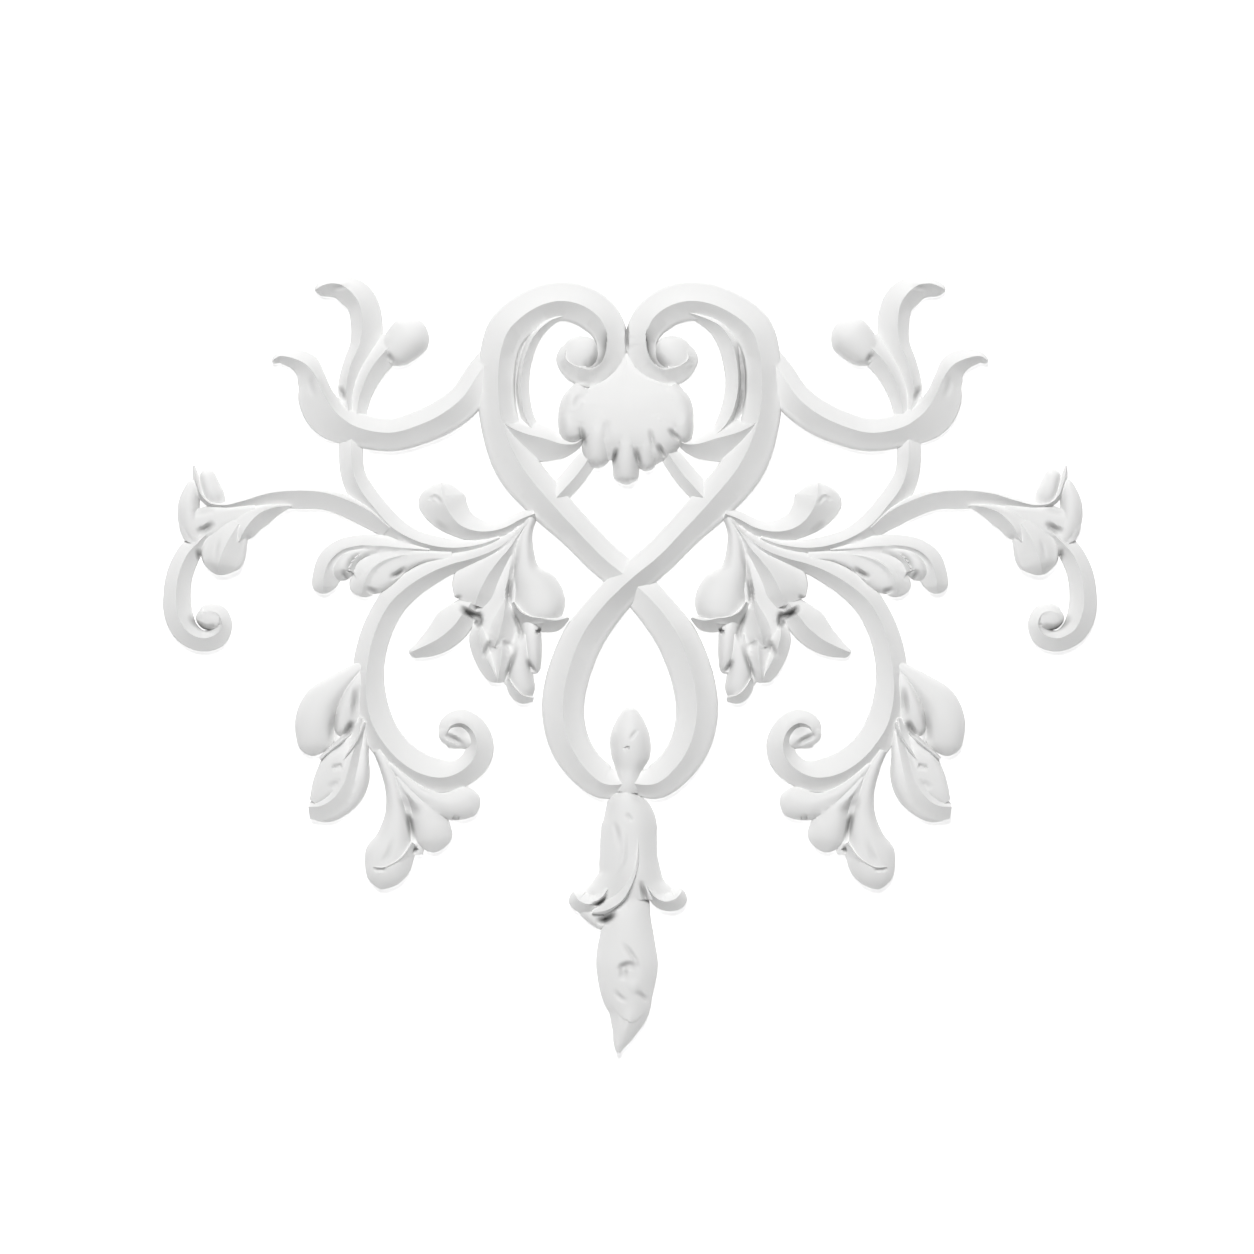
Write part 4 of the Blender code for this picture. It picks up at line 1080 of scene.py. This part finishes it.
def group_socket(tree: bpy.types.NodeTree, name: str, way: str, kind: str, value: object) -> None:
    """Adds a named socket to a node group.

    Args:
        tree: The group.
        name: The socket's name.
        way: INPUT or OUTPUT.
        kind: The socket's type.
        value: What it is when nothing is joined to it, or None.
    """
    socket = tree.interface.new_socket(name=name, in_out=way, socket_type=kind)
    if value is not None:
        socket.default_value = value


def fill_inputs(tree: bpy.types.NodeTree, node: bpy.types.Node,
                given: dict[str | int, object]) -> bpy.types.Node:
    """Fills inputs of a node.

    Args:
        tree: The tree that the node is in.
        node: The node.
        given: For the name or number of an input, the output joined to it or its own value.

    Returns:
        The same node.
    """
    for place, value in given.items():
        if isinstance(value, bpy.types.NodeSocket):
            tree.links.new(value, node.inputs[place])
        else:
            node.inputs[place].default_value = value
    return node


def add_node(tree: bpy.types.NodeTree, kind: str, given: dict[str | int, object],
             operation: str | None = None) -> bpy.types.Node:
    """Adds a node to a tree and fills its inputs.

    Args:
        tree: The tree.
        kind: The node's type.
        given: Its inputs, as fill_inputs takes them.
        operation: What it works out, for a node that has a choice.

    Returns:
        The new node.
    """
    node = tree.nodes.new(kind)
    if operation:
        node.operation = operation
    return fill_inputs(tree, node, given)


def primer_group() -> bpy.types.NodeTree:
    """Sprayed primer: a faint cloud of tone and a fine orange peel, with painted shade that greys
    it where the surface was carved.

    Returns:
        A group with Vector, Colour, Cloud Scale, Peel Scale, Roughness, the painted shade and its
        darkest tone in, and Colour, Roughness and Height out.
    """
    tree = bpy.data.node_groups.new("sprayed_primer", "ShaderNodeTree")
    group_socket(tree, "Vector", "INPUT", "NodeSocketVector", None)
    group_socket(tree, "Colour", "INPUT", "NodeSocketColor", (0.86, 0.86, 0.85, 1.0))
    group_socket(tree, "Cloud Scale", "INPUT", "NodeSocketFloat", 18.0)
    group_socket(tree, "Peel Scale", "INPUT", "NodeSocketFloat", 900.0)
    group_socket(tree, "Roughness", "INPUT", "NodeSocketFloat", 0.6)
    group_socket(tree, "Painted Shade", "INPUT", "NodeSocketFloat", 0.0)
    group_socket(tree, "Shade Tone", "INPUT", "NodeSocketFloat", 0.4)
    group_socket(tree, "Colour", "OUTPUT", "NodeSocketColor", None)
    group_socket(tree, "Roughness", "OUTPUT", "NodeSocketFloat", None)
    group_socket(tree, "Height", "OUTPUT", "NodeSocketFloat", None)
    given = tree.nodes.new("NodeGroupInput").outputs
    cloud = add_node(tree, "ShaderNodeTexNoise", {
        "Vector": given["Vector"], "Scale": given["Cloud Scale"], "Detail": CLOUD_DETAIL,
    }).outputs["Fac"]
    peel = add_node(tree, "ShaderNodeTexNoise", {
        "Vector": given["Vector"], "Scale": given["Peel Scale"], "Detail": PEEL_DETAIL,
    }).outputs["Fac"]
    tone = add_node(tree, "ShaderNodeMapRange", {
        "Value": cloud, "To Min": CLOUD_TONES[0], "To Max": CLOUD_TONES[1],
    }).outputs["Result"]
    # Painted shade: the colour darkens towards the darkest tone where the surface was carved.
    crease_shade = add_node(tree, "ShaderNodeMapRange", {
        "Value": given["Painted Shade"], "To Min": 1.0, "To Max": given["Shade Tone"],
    }).outputs["Result"]
    shade = add_node(tree, "ShaderNodeMath", {0: tone, 1: crease_shade}, "MULTIPLY").outputs["Value"]
    colour = add_node(tree, "ShaderNodeVectorMath", {
        0: given["Colour"], "Scale": shade,
    }, "SCALE").outputs["Vector"]
    change = add_node(tree, "ShaderNodeMapRange", {
        "Value": cloud, "To Min": -CLOUD_ROUGH, "To Max": CLOUD_ROUGH,
    }).outputs["Result"]
    rough = add_node(tree, "ShaderNodeMath", {
        0: change, 1: given["Roughness"],
    }, "ADD").outputs["Value"]
    height = add_node(tree, "ShaderNodeMath", {
        0: cloud, 1: CLOUD_HEIGHT, 2: peel,
    }, "MULTIPLY_ADD").outputs["Value"]
    add_node(tree, "NodeGroupOutput", {"Colour": colour, "Roughness": rough, "Height": height})
    return tree


@dataclass(frozen=True)
class PrimerFinish:
    """Matt white primer over the casting, with painted shade that darkens it in carved creases and
    pockets.
    """

    name: str = "primed_white"
    colour: tuple[float, float, float, float] = (0.86, 0.86, 0.855, 1.0)
    roughness: float = 0.6
    cloud_scale: float = 22.0
    peel_scale: float = 1100.0
    # Darkest share of the colour left by the painted shade in the deepest carved places.
    shade_tone: float = 0.45
    specular: float = 0.25
    bump_distance: float = 0.00006
    bump_strength: float = 0.35

    def material(self) -> bpy.types.Material:
        """The material, with colour, roughness and bump that vary over the surface."""
        material = bpy.data.materials.new(self.name)
        material.use_nodes = True
        tree = material.node_tree
        place = add_node(tree, "ShaderNodeTexCoord", {})
        # Painted shade: the carved depth darkens the primer in creases and pockets.
        painted_shade = add_node(tree, "ShaderNodeAttribute", {})
        painted_shade.attribute_name = SHADE_ATTRIBUTE
        primer = tree.nodes.new("ShaderNodeGroup")
        primer.node_tree = primer_group()
        fill_inputs(tree, primer, {
            "Vector": place.outputs["Object"], "Colour": self.colour,
            "Cloud Scale": self.cloud_scale, "Peel Scale": self.peel_scale,
            "Roughness": self.roughness, "Painted Shade": painted_shade.outputs["Fac"],
            "Shade Tone": self.shade_tone,
        })
        bump = add_node(tree, "ShaderNodeBump", {
            "Distance": self.bump_distance, "Strength": self.bump_strength,
            "Height": primer.outputs["Height"],
        })
        fill_inputs(tree, tree.nodes["Principled BSDF"], {
            "Base Color": primer.outputs["Colour"], "Roughness": primer.outputs["Roughness"],
            "Normal": bump.outputs["Normal"], "Metallic": 0.0,
            "Specular IOR Level": self.specular,
        })
        return material


@dataclass
class Studio:
    """A white wall and floor, a large soft light from above, and the camera.

    The picture is as many units wide as the photograph's frame, and its middle lies beside the
    ribbon crossing by the given units.
    """

    frame_width: float = 1254.0
    middle_right: float = -3.0
    middle_up: float = -49.0
    lens: float = 200.0
    sensor: float = 36.0
    wall_gap: float = 0.0006
    wall_size: float = 4.0
    floor_drop: float = 1.9
    floor_size: float = 3.3
    ambient: float = 0.02
    key_power: float = 312.0
    key_place: tuple[float, float, float] = (-0.4, -5.0, 2.7)
    key_size: float = 2.2
    wall_tone: float = 0.9
    wall_roughness: float = 0.9
    wall_glow: float = 0.6
    floor_tone: float = 0.82
    floor_roughness: float = 0.8

    def plane(self, name: str, corners: list[tuple[float, float, float]]) -> bpy.types.Object:
        """A flat stage piece with four corners, its face towards the room.

        Args:
            name: The piece's name.
            corners: Its corners in metres, in turn round it.

        Returns:
            The new object.
        """
        mesh = bpy.data.meshes.new(name)
        mesh.from_pydata(corners, [], [(0, 1, 2, 3)])
        obj = bpy.data.objects.new(name, mesh)
        bpy.context.scene.collection.objects.link(obj)
        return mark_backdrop(obj) or obj

    def build_wall(self) -> None:
        """The wall, which shows only from the room: its rear is see-through."""
        half, back = self.wall_size / 2, self.wall_gap
        wall = self.plane("wall", [(-half, back, -self.floor_drop), (half, back, -self.floor_drop),
                                   (half, back, half), (-half, back, half)])
        material = bpy.data.materials.new("wall_white")
        material.use_nodes = True
        tree = material.node_tree
        white = fill_inputs(tree, tree.nodes["Principled BSDF"], {
            "Base Color": (*[self.wall_tone] * 3, 1.0), "Roughness": self.wall_roughness,
            "Specular IOR Level": 0.0, "Emission Color": (1.0, 1.0, 1.0, 1.0),
            "Emission Strength": self.wall_glow,
        })
        clear = add_node(tree, "ShaderNodeBsdfTransparent", {})
        seen = add_node(tree, "ShaderNodeNewGeometry", {})
        mix = add_node(tree, "ShaderNodeMixShader", {
            "Fac": seen.outputs["Backfacing"], 1: white.outputs["BSDF"], 2: clear.outputs["BSDF"],
        })
        fill_inputs(tree, tree.nodes["Material Output"], {"Surface": mix.outputs["Shader"]})
        wall.data.materials.append(material)

    def build_floor(self) -> None:
        """The pale floor below the wall."""
        half, low = self.floor_size / 2, -self.floor_drop
        floor = self.plane("floor", [(-half, -half, low), (half, -half, low),
                                     (half, half, low), (-half, half, low)])
        material = bpy.data.materials.new("floor_pale")
        material.use_nodes = True
        fill_inputs(material.node_tree, material.node_tree.nodes["Principled BSDF"], {
            "Base Color": (*[self.floor_tone] * 3, 1.0), "Roughness": self.floor_roughness,
        })
        floor.data.materials.append(material)

    def build_light(self) -> None:
        """An even white surround and one large soft light from above, a little to the left."""
        world = bpy.data.worlds.new("surround")
        world.use_nodes = True
        surround = world.node_tree.nodes["Background"]
        surround.inputs["Color"].default_value = (1.0, 1.0, 1.0, 1.0)
        surround.inputs["Strength"].default_value = self.ambient
        bpy.context.scene.world = world
        light = bpy.data.lights.new("key", "AREA")
        light.shape = "DISK"
        light.size = self.key_size
        light.energy = self.key_power
        key = bpy.data.objects.new("key", light)
        key.location = self.key_place
        key.rotation_euler = (-Vector(self.key_place)).to_track_quat("-Z", "Y").to_euler()
        bpy.context.scene.collection.objects.link(key)

    def build_camera(self) -> None:
        """A long lens straight in front, with the photograph's frame."""
        lens = bpy.data.cameras.new("camera")
        lens.lens = self.lens
        lens.sensor_width = self.sensor
        camera = bpy.data.objects.new("camera", lens)
        distance = self.frame_width * UNIT * self.lens / self.sensor
        camera.location = (self.middle_right * UNIT, -distance, self.middle_up * UNIT)
        camera.rotation_euler = (math.radians(90), 0, 0)
        bpy.context.scene.collection.objects.link(camera)
        bpy.context.scene.camera = camera

    def build(self) -> None:
        """Builds the stage, the light and the camera."""
        self.build_wall()
        self.build_floor()
        self.build_light()
        self.build_camera()
        view = bpy.context.scene.view_settings
        view.view_transform = "Standard"
        view.look = "None"
        LOG.info("studio: wall, floor, light and camera")


def main() -> None:
    """Builds the casting, dresses it and sets the stage."""
    casting = Casting([kind() for kind in ORNAMENTS])
    casting.join()
    LOG.info("joined: %d faces", len(casting.body.data.polygons))
    casting.refine()
    LOG.info("refined: %d faces", len(casting.body.data.polygons))
    casting.soften()
    casting.carve()
    casting.thin_out()
    casting.finish(PrimerFinish().material())
    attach(casting.body, "root")
    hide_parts(NODE)
    Studio().build()


if __name__ == "__main__":
    main()
